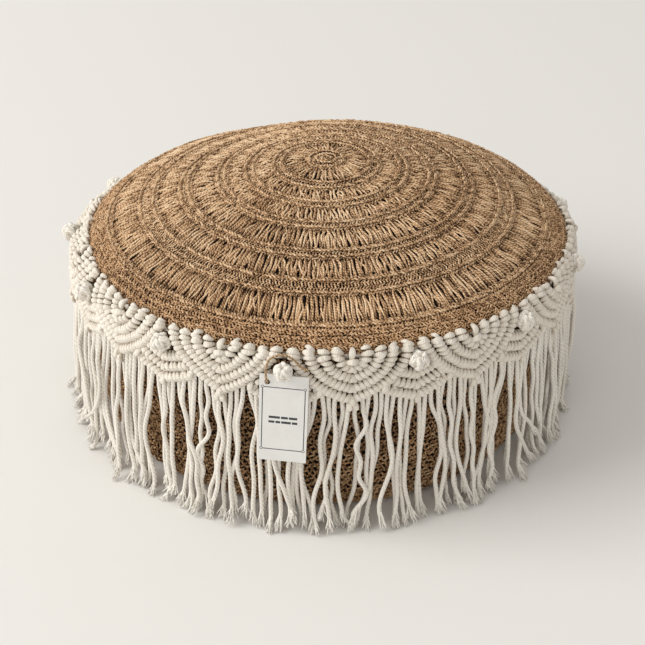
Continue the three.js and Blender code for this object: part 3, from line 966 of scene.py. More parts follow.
@dataclass
class CushionForm:
    """Outer form of the stuffed cover: dome, side, rounded foot and flat base.

    A place on it is an azimuth and a distance run down the profile from the crown. The belly is where
    the side stands out furthest; the tucks say how far it draws in above and below that. The grid holds
    a ring of points for each step of the run, and the pressure's largest moves are kept to the limits.
    """

    crown: float = 0.295
    rim_radius: float = 0.270
    rim: float = 0.215
    dome_power: float = 1.55
    belly_radius: float = 0.269
    belly: float = 0.120
    shoulder_tuck: float = 0.0015
    foot_tuck: float = 0.0135
    foot: float = 0.012
    rest_radius: float = 0.238
    segments: int = 130
    ring_step: float = 0.008
    swell: float = 4.0
    band_foot: float = 0.150
    held_radius: float = 0.262
    dome_limit: float = 0.005
    side_limit: float = 0.0045
    lumps: float = 0.0032
    lump_waves: int = 14
    lump_rate: float = 17.0
    seed: int = 7
    run: Array = field(init=False)
    profile: Array = field(init=False)
    grid: Array = field(init=False)

    def __post_init__(self) -> None:
        """Lay out the profile and the grid of points on it."""
        radius = np.linspace(0.0, self.rim_radius, 60)
        dome = np.stack([radius, self.crown - (self.crown - self.rim) * (radius / self.rim_radius)
                         ** self.dome_power], 1)
        height = np.linspace(self.rim, self.foot, 50)[1:]
        bend = np.where(
            height < self.belly,
            self.foot_tuck * (np.maximum(self.belly - height, 0) / (self.belly - self.foot)) ** 2,
            self.shoulder_tuck * (np.maximum(height - self.belly, 0) / (self.rim - self.belly)) ** 2)
        side = np.stack([self.belly_radius - bend, height], 1)
        heel = np.array([[self.rest_radius + 0.0122, self.foot / 3], [self.rest_radius, 0.0]])
        base = np.stack([np.linspace(self.rest_radius, 0.0, 40)[1:], np.zeros(39)], 1)
        rough = np.concatenate([dome, side, heel, base])
        gone = distance_run(rough)
        fine = np.arange(0, gone[-1], 0.001)
        dense = np.stack([np.interp(fine, gone, rough[:, 0]), np.interp(fine, gone, rough[:, 1])], 1)
        kernel = np.hanning(15) / np.hanning(15).sum()
        soft = np.stack([np.convolve(np.pad(dense[:, i], 7, mode="reflect", reflect_type="odd"),
                                     kernel, "valid") for i in (0, 1)], 1)
        soft[:, 0] = np.maximum(soft[:, 0], 0.0)
        rings = int(fine[-1] / self.ring_step)
        self.run = np.linspace(0.004, fine[-1] - 0.004, rings)
        self.profile = np.stack([np.interp(self.run, fine, soft[:, i]) for i in (0, 1)], 1)
        azimuth = np.arange(self.segments) * TURN / self.segments
        self.grid = polar(azimuth[None, :], self.profile[:, :1], self.profile[:, 1:])
        self._shape_by_hand()

    def _shape_by_hand(self) -> None:
        """Uneven stuffing: slow lumps, strongest on the dome, none at the band or the base."""
        rng = seeded(self.seed)
        x, y, z = np.moveaxis(self.grid, -1, 0)
        push = np.zeros(x.shape)
        for _ in range(self.lump_waves):
            wave = rng.normal(0, self.lump_rate, 3)
            push += np.sin(x * wave[0] + y * wave[1] + z * wave[2] + rng.uniform(0, ANY_PHASE)) / 3.7
        radius, height = self.profile[:, 0], self.profile[:, 1]
        room = np.where(height > self.rim - 0.002, 1.0 - (radius / self.rim_radius) ** 8 * 0.7,
                        np.clip((self.band_foot - height) / 0.05, 0, 1)
                        * np.clip((height - 0.01) / 0.03, 0, 1))
        room[radius < 1e-3] *= 0.5
        self.grid = self.grid + self.facing() * (push * room[:, None] * self.lumps)[..., None]
        azimuth = np.arange(self.segments) * TURN / self.segments
        upper = np.clip((height - self.band_foot) / 0.05, 0, 1)
        upper = upper * upper * (3 - 2 * upper)
        self.grid = self.grid + HAND.shift(azimuth[None, :], radius[:, None]) * upper[:, None, None]

    def facing(self) -> Array:
        """Outward direction at each grid point."""
        around = np.roll(self.grid, -1, 1) - np.roll(self.grid, 1, 1)
        down = np.gradient(self.grid, axis=0)
        return unit(np.cross(down, around))

    def length_to(self, radius: Array | float) -> Array:
        """Distance run from the crown to a radius on the dome."""
        top = int(np.sum(self.profile[:, 1] > self.rim + 0.001))
        return np.interp(radius, self.profile[:top, 0], self.run[:top])

    def length_to_height(self, height: Array | float) -> Array:
        """Distance run from the crown to a height on the side."""
        side = (self.profile[:, 1] < self.rim - 0.004) & (self.profile[:, 1] > 0.002)
        return np.interp(height, self.profile[side, 1][::-1], self.run[side][::-1])

    def _read(self, azimuth: Array, run: Array) -> Array:
        """Read the grid between its points."""
        column = (azimuth / TURN * self.segments) % self.segments
        row = np.interp(run, self.run, np.arange(len(self.run)))
        c0, r0 = np.floor(column).astype(int), np.clip(np.floor(row).astype(int), 0, len(self.run) - 2)
        c, r = (column - c0)[..., None], (row - r0)[..., None]
        c1 = (c0 + 1) % self.segments
        c0 = c0 % self.segments
        upper = self.grid[r0, c0] * (1 - c) + self.grid[r0, c1] * c
        lower = self.grid[r0 + 1, c0] * (1 - c) + self.grid[r0 + 1, c1] * c
        return upper * (1 - r) + lower * r

    def on(self, azimuth: Array, run: Array, lift: Array | float = 0.0) -> Spot:
        """Find places on the surface.

        Args:
            azimuth: angle from the front.
            run: distance down the profile from the crown.
            lift: height above the surface.

        Returns:
            The places with their outward, around and down directions.
        """
        reach = 0.004
        azimuth, run, lift = np.broadcast_arrays(np.asarray(azimuth, float), run, lift)
        here = self._read(azimuth, run)
        down = unit(self._read(azimuth, run + reach) - self._read(azimuth, run - reach))
        around = np.stack([np.cos(azimuth), np.sin(azimuth), np.zeros(azimuth.shape)], -1)
        out = unit(np.cross(down, around))
        around = unit(np.cross(out, down))
        return Spot(here + out * lift[..., None], out, around, down)

    def closed_mesh(self, name: str, inset: float) -> Mesh:
        """The whole form as a closed mesh.

        Args:
            name: mesh name.
            inset: how far inside the outer form it lies.

        Returns:
            A mesh with grid rows first, then the two poles.
        """
        points = self.grid - self.facing() * inset
        rows, columns = points.shape[:2]
        poles = [points[0].mean(0), points[-1].mean(0)]
        mesh = bpy.data.meshes.new(name)
        faces = []
        for r in range(rows - 1):
            for c in range(columns):
                d = (c + 1) % columns
                here, below = r * columns, (r + 1) * columns
                faces.append((here + c, below + c, below + d, here + d))
        top, bottom, last = rows * columns, rows * columns + 1, (rows - 1) * columns
        for c in range(columns):
            d = (c + 1) % columns
            faces.append((top, c, d))
            faces.append((bottom, last + d, last + c))
        mesh.from_pydata([tuple(p) for p in points.reshape(-1, 3)] + [tuple(p) for p in poles], [], faces)
        mesh.shade_smooth()
        return mesh

    def stuff(self, frames: int = 20) -> None:
        """Blow the cover up as cloth held at its seams, and keep the form it takes."""
        piece = add_piece("cover_under_pressure", self.closed_mesh("cover_under_pressure", 0.0))
        columns = self.segments
        radius, height = self.profile[:, 0], self.profile[:, 1]
        held = np.where(height > self.rim - 0.004, np.clip((radius - self.held_radius) / 0.006, 0, 1),
                        np.clip((height - self.band_foot) / 0.02, 0, 1))
        held = np.maximum(held, np.clip((self.foot * 1.6 - height) / 0.006, 0, 1))
        group = piece.vertex_groups.new(name="held")
        for row, weight in enumerate(held):
            if weight > 0:
                group.add(list(range(row * columns, (row + 1) * columns)), float(weight), "REPLACE")
        group.add([len(piece.data.vertices) - 1], 1.0, "REPLACE")
        cloth = piece.modifiers.new("Cloth", "CLOTH")
        settings = cloth.settings
        settings.quality = 4
        settings.mass = 0.4
        settings.tension_stiffness = 25
        settings.compression_stiffness = 25
        settings.bending_stiffness = 2
        settings.use_pressure = True
        settings.uniform_pressure_force = self.swell
        settings.vertex_group_mass = "held"
        settings.effector_weights.gravity = 0
        cloth.point_cache.frame_start = 1
        cloth.point_cache.frame_end = frames
        scene = bpy.context.scene
        scene.frame_start, scene.frame_end = 1, frames
        for number in range(1, frames + 1):
            scene.frame_set(number)
        graph = bpy.context.evaluated_depsgraph_get()
        grown = vertex_values(piece.evaluated_get(graph).data)
        piece.modifiers.remove(cloth)
        drop(piece)
        scene.frame_set(1)
        rows = len(self.run)
        moved = grown[:rows * columns].reshape(rows, columns, 3) - self.grid
        limit = np.where(height > self.rim - 0.004, self.dome_limit, self.side_limit) * (1 - held)
        size = np.linalg.norm(moved, axis=-1, keepdims=True)
        moved *= np.minimum(1.0, limit[:, None, None] / np.maximum(size, 1e-9))
        furthest = float(np.linalg.norm(moved, axis=-1).max())
        LOG.info("stuffed cover: largest movement %.1f mm", furthest / MM)
        self.grid = self.grid + moved


# ---------------------------------------------------------------- crochet


@dataclass
class CrochetTop:
    """The domed top: rounds of tall stitches between chain ridges, and dense short rounds at its edge.

    Bands, ridges and rounds are radii in millimetres. Up to even_radius a radius is read from the dome;
    past it the rounds follow the profile over the rim.
    """

    form: CushionForm
    tall_bands: tuple[tuple[float, float], ...] = (
        (22, 47), (62, 80), (93, 112), (125, 152), (166, 191), (212, 243))
    double_ridges: tuple[tuple[float, float], ...] = (
        (49, 59), (82, 90.5), (114.5, 122), (155, 163), (194, 209))
    single_ridges: tuple[float, ...] = (4.5, 11, 19, 247)
    lone_webs: tuple[float, ...] = (2.2, 7.5, 15.0, 244.5, 249.5)
    edge_rounds: tuple[float, ...] = (251, 255, 259, 263, 267, 271, 275, 279)
    stitch_pitch: float = 0.0046
    strand_radius: float = 0.00116
    even_radius: float = 0.262
    overlap: float = 0.0015
    stations: int = 7

    def _tall_lines(self, rng: Random) -> tuple[list[Array], list[Array], list[Array]]:
        """Wavy near-radial strands of every tall round, with their tone and the painted shade at their ends,
        where they dive under.
        """
        lines, shades, painted_dip_shades = [], [], []
        t = np.linspace(0, 1, self.stations)
        for inner, outer in self.tall_bands:
            inner, outer = inner * MM, outer * MM
            count = int(TURN * (inner + outer) / 2 / self.stitch_pitch)
            for strand in range(3):
                n = count if strand < 2 else int(count * 0.85)
                middle = np.arange(n) + rng.uniform(-0.16, 0.16, n) + 0.21 * (strand - 0.5)
                middle = middle / n * TURN
                slant = rng.normal(0.0007, 0.0014, n) + (0.0012 if strand == 1 else -0.0012)
                wave = rng.normal(0.0, 0.0009, n)
                phase = rng.uniform(0, ANY_PHASE, n)
                radius = (inner - self.overlap + rng.normal(0, 0.0009, n))[:, None] + (
                    outer - inner + 2 * self.overlap + rng.normal(0, 0.0009, n))[:, None] * t[None, :]
                side = (slant[:, None] * (t - 0.5) * 2
                        + wave[:, None] * np.sin(t[None] * 8.5 + phase[:, None]))
                azimuth = middle[:, None] + side / np.maximum(radius, 0.008)
                lift = 0.0002 + 0.0010 * np.sin(t * math.pi)[None] + 0.0010 * np.sin(
                    t[None] * 9 + phase[:, None]) - (0.0018 * (strand == 2))
                run = self.form.length_to(np.clip(radius, 0.001, self.even_radius))
                spot = self.form.on(azimuth, run, lift)
                # The third strand lies deeper and its tone is painted darker, as painted shade under the
                # other two.
                tone = rng.uniform(0, 1, n) - 0.35 * (strand == 2)
                lines.extend(spot.at)
                shades.extend(np.repeat(tone[:, None], self.stations, 1))
                # Painted shade towards each strand's ends, where it dives under the ridges.
                painted_dip_shades.extend(np.repeat((1 - np.sin(t * math.pi))[None] ** 1.5, n, 0))
        return lines, shades, painted_dip_shades

    def _round(self, rng: Random, radius: float, pitch: float, angle: float, lift: float,
               grow: Triple) -> dict[str, Array]:
        """Stitches side by side in one round.

        Args:
            rng: source of hand-made unevenness.
            radius: of the round, in millimetres.
            pitch: distance between stitches.
            angle: from the round's own direction towards the rim.
            lift: above the surface.
            grow: stitch size against the pattern's own.

        Returns:
            The guide facts of the round.
        """
        count = max(6, int(TURN * radius * MM / pitch))
        azimuth = (np.arange(count) + rng.uniform(-0.12, 0.12, count)) / count * TURN
        run = self.form.length_to(min(radius * MM, self.even_radius)) + rng.normal(0, 0.00035, count)
        run = run + 1.09 * max(0.0, radius * MM - self.even_radius)
        spot = self.form.on(azimuth, run, lift + rng.normal(0, 0.0002, count))
        turn = angle + rng.normal(0, 0.12, count)
        size = np.array(grow)[None] * rng.uniform(0.88, 1.12, (count, 3))
        return {"at": spot.at, "out": spot.out, "along": spot.heading(turn), "grow": size}

    def build(self, sweep: SweptYarn, stitches: Stitches, yarn: Finish,
              edge_yarn: Finish) -> list[Piece]:
        """Make the top's pieces.

        Args:
            sweep: pattern for the tall strands.
            stitches: pattern for the short ones.
            yarn: the grass yarn finish.
            edge_yarn: the redder finish of the outer rounds.

        Returns:
            The pieces.
        """
        rng = seeded(31)
        lines, shades, painted_dip_shades = self._tall_lines(rng)
        belly = 0.72 + 0.28 * np.sin(np.linspace(0.15, math.pi - 0.15, self.stations))
        guide = guide_lines(lines, shade=shades, dip=painted_dip_shades, thick=[belly] * len(lines))
        tall = sweep.run("crochet_top_tall_stitches", guide, yarn, yarn_radius=self.strand_radius,
                         sides=4, plies=1, ply_depth=0.0, twist=0.0)
        ridges, webs, edge = [], [], []
        chain = (0.0042, 0.24, 0.0012, (1.0, 1.0, 1.0))
        for pair in self.double_ridges:
            for radius in pair:
                ridges.append(self._round(rng, radius, *chain))
            inner, outer = pair
            rows = max(2, round((outer - inner) / 4.0))
            for row in range(rows):
                radius = inner + (outer - inner) * (row + 0.5) / rows
                webs.append(self._round(rng, radius, 0.0034, 1.05 if row % 2 else 2.0, 0.0, (0.95, 1, 1)))
        for radius in self.single_ridges:
            ridges.append(self._round(rng, radius, *chain))
        for inner, outer in self.tall_bands:
            for radius, angle in ((outer + 0.4, 0.9), (inner - 0.6, 2.2)):
                webs.append(self._round(rng, radius, 0.0036, angle, 0.0002, (0.85, 1, 1)))
        for radius in self.lone_webs:
            webs.append(self._round(rng, radius, 0.0034, 1.4, 0.0, (0.9, 1, 1)))
        for row, radius in enumerate(self.edge_rounds):
            edge.append(self._round(rng, radius, 0.0036, 0.75 if row % 2 else 2.35, 0.0003, (0.85, 1, 1)))
            edge.append(self._round(rng, radius + 1.6, 0.0052, 0.2, 0.0006, (0.8, 0.95, 1)))
        short = {"sides": 4, "stations": 4, "taper": 0.45, "turn_jitter": 0.16}
        return [
            tall,
            lay_stitches(stitches, "crochet_top_ridges", ridges, yarn, stitch_length=0.0085, rise=0.0016,
                         sway=0.0006, yarn_radius=0.00125, seed=11, **short),
            lay_stitches(stitches, "crochet_top_web", webs, yarn, stitch_length=0.0075, rise=0.0012,
                         sway=0.0005, yarn_radius=0.00105, seed=12, **short),
            lay_stitches(stitches, "crochet_top_edge", edge, edge_yarn, stitch_length=0.0075, rise=0.0014,
                         sway=0.0005, yarn_radius=0.00115, seed=13, **short),
        ]


def lay_stitches(stitches: Stitches, name: str, rounds: list[dict[str, Array]], finish: Finish,
                 **sizes: object) -> Piece:
    """Run the stitch pattern on several rounds at once.

    Args:
        stitches: the pattern.
        name: the piece's name.
        rounds: guide facts of each round.
        finish: what the piece is dressed in.
        sizes: the pattern's inputs.

    Returns:
        The piece.
    """
    facts = {key: np.concatenate([one[key] for one in rounds]) for key in ("at", "out", "along", "grow")}
    guide = guide_points(facts.pop("at"), **facts)
    return stitches.run(name, guide, finish, **sizes)


@dataclass
class CrochetSide:
    """The side: jumbled herringbone of short strands from the rim to the foot."""

    form: CushionForm
    row_pitch: float = 0.0056
    stitch_pitch: float = 0.0062
    radius: float = 0.268
    top: float = 0.208
    foot: float = 0.012
    under: float = 0.014
    lean: float = 0.80

    def build(self, stitches: Stitches, yarn: Finish) -> list[Piece]:
        """Make the side in three pieces, one above the other, down to a little under the foot."""
        rng = seeded(53)
        start = float(self.form.length_to_height(self.top))
        end = float(self.form.length_to_height(self.foot)) + self.under
        rows = int((end - start) / self.row_pitch)
        parts: list[list[dict[str, Array]]] = [[], [], []]
        for row in range(rows):
            run = start + (row + 0.5) * self.row_pitch
            count = int(TURN * self.radius / self.stitch_pitch)
            for leg in (0, 1):
                azimuth = np.arange(count) + rng.uniform(-0.18, 0.18, count) + 0.5 * (row % 2) + 0.42 * leg
                azimuth = azimuth / count * TURN
                depth = run + rng.normal(0, 0.0009, count)
                spot = self.form.on(azimuth, depth, rng.normal(0.0, 0.0006, count))
                lean = (self.lean if leg else math.pi - self.lean) + rng.normal(0, 0.17, count)
                parts[min(2, 3 * row // rows)].append({
                    "at": spot.at, "out": spot.out, "along": spot.heading(lean),
                    "grow": rng.uniform(0.8, 1.2, (count, 3))})
        pieces = []
        for number, place in enumerate(("upper", "middle", "lower")):
            pieces.append(lay_stitches(
                stitches, f"crochet_side_{place}", parts[number], yarn, stitch_length=0.0086, rise=0.0018,
                sway=0.0007, yarn_radius=0.00132, taper=0.4, sides=3, stations=4, turn_jitter=0.2,
                seed=21 + number))
        return pieces


@dataclass
class CrochetBase:
    """The flat base: coarse rounds with an opening for the zip."""

    form: CushionForm
    opening: tuple[float, float] = (0.400, 0.024)
    rounds: int = 36
    round_pitch: float = 0.0067
    stitch_pitch: float = 0.0056
    sunk: float = 0.0021
    lean: float = 0.75
    corner: float = 0.006
    edge_height: float = 0.0024

    def build(self, sweep: SweptYarn, stitches: Stitches, yarn: Finish) -> list[Piece]:
        """Make the base and the edging of its opening."""
        rng = seeded(71)
        rounds = []
        half_x, half_y = self.opening[0] / 2 + 0.004, self.opening[1] / 2 + 0.003
        end = float(self.form.run[-1])
        for number in range(1, self.rounds + 1):
            radius = number * self.round_pitch
            count = int(TURN * radius / self.stitch_pitch)
            azimuth = (np.arange(count) + rng.uniform(-0.15, 0.15, count)) / count * TURN
            spot = self.form.on(azimuth, end - radius + 0.002, -self.sunk)
            keep = (np.abs(spot.at[:, 0]) > half_x) | (np.abs(spot.at[:, 1]) > half_y)
            turn = np.where(np.arange(count) % 2 == 0, self.lean, math.pi - self.lean)
            turn = turn + rng.normal(0, 0.15, count)
            rounds.append({"at": spot.at[keep], "out": spot.out[keep], "along": spot.heading(turn)[keep],
                           "grow": rng.uniform(0.9, 1.1, (count, 3))[keep]})
        base = lay_stitches(stitches, "crochet_base", rounds, yarn, stitch_length=0.0098, rise=0.0009,
                            sway=0.0008, yarn_radius=0.00162, taper=0.6, sides=3, stations=4,
                            turn_jitter=0.12, seed=31)
        x, y = self.opening[0] / 2, self.opening[1] / 2
        corner, reach = self.corner, self.corner + 0.002
        path = []
        for cx, cy, start in ((x - corner, y - corner, 0.0), (-x + corner, y - corner, 0.5),
                              (-x + corner, -y + corner, 1.0), (x - corner, -y + corner, 1.5)):
            for step in np.linspace(0, 0.5, 6):
                angle = (start + step) * math.pi
                path.append((cx + reach * math.cos(angle), cy + reach * math.sin(angle), self.edge_height))
        path = resample(np.array(path + path[:1]), 0.003)[:-1]
        edging = sweep.run("crochet_base_opening_edge", cord_guide(path, closed=True), yarn,
                           yarn_radius=0.0019, sides=9, plies=3, ply_depth=0.16, twist=420.0)
        return [base, edging]


def resample(line: Array, step: float) -> Array:
    """Points at even steps along a line.

    Args:
        line: points in order.
        step: wanted distance between points.

    Returns:
        The new points, with both ends kept.
    """
    gone = distance_run(line)
    marks = np.linspace(0, gone[-1], max(2, round(gone[-1] / step) + 1))
    return np.stack([np.interp(marks, gone, line[:, i]) for i in range(3)], 1)


def smooth_values(at: Array, keys: Array, values: Array) -> Array:
    """Read a smooth curve through keyed values.

    Args:
        at: where to read it.
        keys: rising places of the values.
        values: what it passes through.

    Returns:
        The values there.
    """
    slopes = np.gradient(values, keys)
    place = np.clip(np.searchsorted(keys, at, side="right") - 1, 0, len(keys) - 2)
    width = keys[place + 1] - keys[place]
    t = (at - keys[place]) / width
    return ((2 * t**3 - 3 * t**2 + 1) * values[place] + (t**3 - 2 * t**2 + t) * width * slopes[place]
            + (3 * t**2 - 2 * t**3) * values[place + 1] + (t**3 - t**2) * width * slopes[place + 1])


def smooth_line(points: Array, step: float) -> Array:
    """A smooth curve through points, at even steps.

    Args:
        points: places it passes through.
        step: distance between the new points.

    Returns:
        The curve's points.
    """
    padded = np.concatenate([[2 * points[0] - points[1]], points, [2 * points[-1] - points[-2]]])
    parts = []
    t = np.linspace(0, 1, 12, endpoint=False)[:, None]
    for a, b, c, d in zip(padded, padded[1:], padded[2:], padded[3:]):
        parts.append(0.5 * (2 * b + (c - a) * t + (2 * a - 5 * b + 4 * c - d) * t**2
                            + (3 * b - a - 3 * c + d) * t**3))
    return resample(np.concatenate(parts + [points[-1:]]), step)


@dataclass
class SeamCord:
    """A cord of the cover's yarn that joins two crocheted parts."""

    name: str
    node: str
    height: float
    form: CushionForm
    cord_radius: float = 0.0026
    points: int = 520

    def build(self, sweep: SweptYarn, yarn: Finish) -> Piece:
        """Make the closed cord."""
        azimuth = np.arange(self.points) * TURN / self.points
        path = self.form.on(azimuth, float(self.form.length_to_height(self.height)), -0.0022).at
        # The seam cord gets light painted shade, as it lies under the stitches.
        return sweep.run(self.name, cord_guide(path, 0.45, 0.15, closed=True), yarn,
                         yarn_radius=self.cord_radius, sides=9, plies=3, ply_depth=0.15, twist=350.0)


# ---------------------------------------------------------------- knotted band


@dataclass
class KnottedBand:
    """Thirteen chevrons of four hitched rows each, smaller hitches between them, and berry knots.

    Lengths across a chevron and heights are in millimetres. The bows say how far each chevron's rows
    sag below a straight line, 0 to 1. Above the fold the band bends in over the rim. Behind the tag's
    card it's pressed in by tag_recess, in metres, out to tag_reach and mostly near tag_height.
    """

    row_tops: tuple[float, ...] = (14, 28.5, 43.5, 58)
    row_feet: tuple[float, ...] = (197, 185, 173.5, 161.5)
    small_starts: tuple[tuple[float, float], ...] = ((49, 187), (41, 178), (34.5, 168))
    small_feet: tuple[float, ...] = (180, 167.5, 155)
    bows: tuple[float, ...] = (0.85, 0.6, 0.3, 0.7, 0.45, 0.2, 0.8, 0.5, 0.25, 0.65, 0.4, 0.35, 0.1)
    rope_half: float = 0.0056
    pitch: float = 0.0050
    face_radius: float = 0.2770
    berry_radius: float = 0.0105
    berry_height: float = 0.200
    ball_cord_radius: float = 0.0026
    arc_radius: float = 283.0
    half_width: float = 68.4
    row_end: float = 210.0
    top: float = 215.0
    fold: float = 206.0
    foot: float = 150.0
    flare: float = 0.055
    fold_in: float = 0.45
    tag_recess: float = 0.0019
    tag_reach: float = 36.0
    tag_height: float = 190.0

    def spot(self, sector: int, across: Array, height: Array,
             lift: Array | float = 0.0) -> tuple[Array, Array]:
        """Places on the band.

        Args:
            sector: which chevron.
            across: millimetres from its middle, along the band.
            height: millimetres above the floor.
            lift: metres out from the rows' own line.

        Returns:
            The places and their outward directions.
        """
        across, height = np.broadcast_arrays(np.asarray(across, float), np.asarray(height, float))
        azimuth = (sector + 0.5) * SECTOR + across / self.arc_radius
        fall = (self.top - height) * MM
        over = np.clip(height - self.fold, 0, 12) * MM
        from_tag = np.abs((azimuth + math.pi) % TURN - math.pi) * self.arc_radius
        pressed = (np.clip((self.tag_reach - from_tag) / 8.0, 0, 1)
                   * np.clip(1.6 - np.abs(height - self.tag_height) / 10.0, 0, 1))
        radius = self.face_radius + self.flare * fall - self.fold_in * over + lift
        radius = radius + HAND.stand_out(azimuth, height) - self.tag_recess * pressed
        tilt = np.clip((height - 194.0) / 19.0, 0, 1) ** 1.4 * 0.75 + 0.08
        out = polar(azimuth, np.cos(tilt), np.sin(tilt))
        upper = np.clip((height - self.foot) / 62, 0, 1)
        return polar(azimuth, radius, height * MM - HAND.lowered(azimuth) * upper), out

    def _arm(self, sector: int, side: int, row: int) -> tuple[Array, Array]:
        """Half of one chevron row, from its foot on the axis to its top end on the crochet's edge."""
        t = np.linspace(0, 1, 16)
        top, foot = self.row_tops[row], self.row_feet[row]
        end = self.row_end
        bow = self.bows[sector]
        mid_u, mid_z = (0.62 + 0.24 * bow) * top, foot + (0.43 - 0.17 * bow) * (end - foot)
        across = 2 * (1 - t) * t * mid_u + t**2 * top + 0.8
        height = (1 - t) ** 2 * foot + 2 * (1 - t) * t * mid_z + t**2 * end
        rng = seeded(sector * 100 + row * 10 + side + 1)
        across = across + rng.normal(0, 0.7) * t + 0.5 * np.sin(t * rng.uniform(4, 8) + rng.uniform(0, 6))
        height = height + rng.normal(0, 0.8) * t + 0.5 * np.sin(t * rng.uniform(4, 8) + rng.uniform(0, 6))
        across = np.append(across, across[-1] + 0.6)
        height = np.append(height, height[-1] + 2.6)
        return self.spot(sector, side * across, height)

    def _small_arm(self, sector: int, side: int, row: int) -> tuple[Array, Array]:
        """A hitched row from under the chevron down to the point below the berry knot."""
        t = np.linspace(0, 1, 12)
        start_u, start_z = self.small_starts[row]
        end_u, end_z = self.half_width, self.small_feet[row]
        across = start_u + (end_u - start_u) * t
        height = start_z + (end_z - start_z) * t**0.85
        return self.spot(sector, side * across, height, -0.0012)

    def rows(self, sector: int) -> tuple[list[Array], list[Array], list[Array]]:
        """All hitched rows of a chevron.

        Args:
            sector: which chevron.

        Returns:
            Lines, their outward directions, and the lean of their hitches.
        """
        lines, outs, leans = [], [], []
        for side in (1, -1):
            arms = [(self._arm(sector, side, row), side) for row in range(len(self.row_tops))]
            arms += [(self._small_arm(sector, side, row), -side) for row in range(len(self.small_feet))]
            for (line, out), lean in arms:
                lines.append(line)
                outs.append(out)
                leans.append(np.full(len(line), float(lean)))
        return lines, outs, leans

    def _loose_knots(self, sector: int, rng: Random) -> dict[str, Array]:
        """Upright loops at the row tops, the small knot over the axis and the one at the chevron's foot."""
        # across, height, angle, size and lift of each knot
        places = [(0, 211.5, 1.55, 1.15, 0.0010), (0, 205.0, 0.15, 1.2, 0.002),
                  (-3.2, 153.5, 1.45, 1.1, 0.0008), (3.2, 153.5, 1.7, 1.1, 0.0008),
                  (0, 159.5, 1.57, 1.1, 0.0018)]
        for top in self.row_tops:
            for side in (1, -1):
                u, z = side * (top + 1.0) + rng.normal(0, 0.9), 210.2 + rng.normal(0, 1.2)
                places.append((u, z - 1.1, rng.normal(0.34 * side, 0.30), rng.uniform(1.02, 1.16), -0.0009))
                places.append((u + rng.normal(0, 0.9), z + 3.9, rng.normal(0.25 * side, 0.35),
                               rng.uniform(0.84, 1.02), -0.0015))
        for side in (1, -1):
            places.append((side * 33.0, 172.0, 1.3, 1.15, 0.001))
            places.append((side * 68.0, 152.5, 1.57, 1.1, 0.0005))
        u, z, angle, size, lift = np.array(places).T
        at, out = self.spot(sector, u, z, lift)
        azimuth = (sector + 0.5) * SECTOR + u / self.arc_radius
        around = polar(azimuth + math.pi / 2, 1.0, 0.0)
        up = unit(np.cross(around, out))
        up = up * np.sign(up[:, 2:3])
        along = around * np.cos(angle)[:, None] + up * np.sin(angle)[:, None]
        grow = size[:, None] * rng.uniform(0.95, 1.08, (len(u), 3))
        return {"at": at, "out": out, "along": along, "grow": grow}

    def berry_centre(self, number: int) -> Array:
        """Middle of a berry knot; number 0 carries the tag and stands further out."""
        azimuth = number * SECTOR
        radius = 0.2915 if number == 0 else 0.2845 + float(HAND.stand_out(azimuth, 190.0))
        return polar(azimuth, radius, self.berry_height - 0.8 * float(HAND.lowered(azimuth)))

    def berry_line(self, number: int, rng: Random) -> Array:
        """One cord wound over and under itself into a ball."""
        leads, bights, points = 2, 5, 170
        t = np.linspace(0, TURN, points, endpoint=False)
        latitude = 1.08 * np.cos(bights * t + rng.uniform(-0.3, 0.3))
        longitude = leads * t + rng.uniform(0, ANY_PHASE)
        radius = (self.berry_radius - self.ball_cord_radius) * (1 + 0.10 * np.sin(2 * bights * t))
        ball = np.stack([np.cos(latitude) * np.cos(longitude), np.cos(latitude) * np.sin(longitude),
                         np.sin(latitude)], 1) * radius[:, None]
        lean = rng.uniform(0.15, 0.5)
        c, s = math.cos(lean), math.sin(lean)
        tip = np.array([[1, 0, 0], [0, c, -s], [0, s, c]])
        c, s = math.cos(number * SECTOR), math.sin(number * SECTOR)
        turn = np.array([[c, -s, 0], [s, c, 0], [0, 0, 1]])
        ball = ball @ tip.T
        if number == 0:
            ball[:, 1] = np.minimum(ball[:, 1], 0.0050)
        return ball @ turn.T + self.berry_centre(number)

    def _berry_core(self, number: int, sweep: SweptYarn, cord: Finish) -> Piece:
        """A short fat plug of cord that fills the middle of a berry knot."""
        t = np.linspace(-1, 1, 9)
        line = np.zeros((9, 3)) + self.berry_centre(number)
        line[:, 2] += 0.0068 * t
        thick = np.sqrt(np.clip(1.04 - t**2, 0.04, 1))
        # The plug is painted darker, as painted shade inside the knot.
        return sweep.run("berry_core", cord_guide(line, 0.4, 0.6, thick=thick), cord, yarn_radius=0.0070,
                         sides=16, plies=3, ply_depth=0.0, twist=0.0)

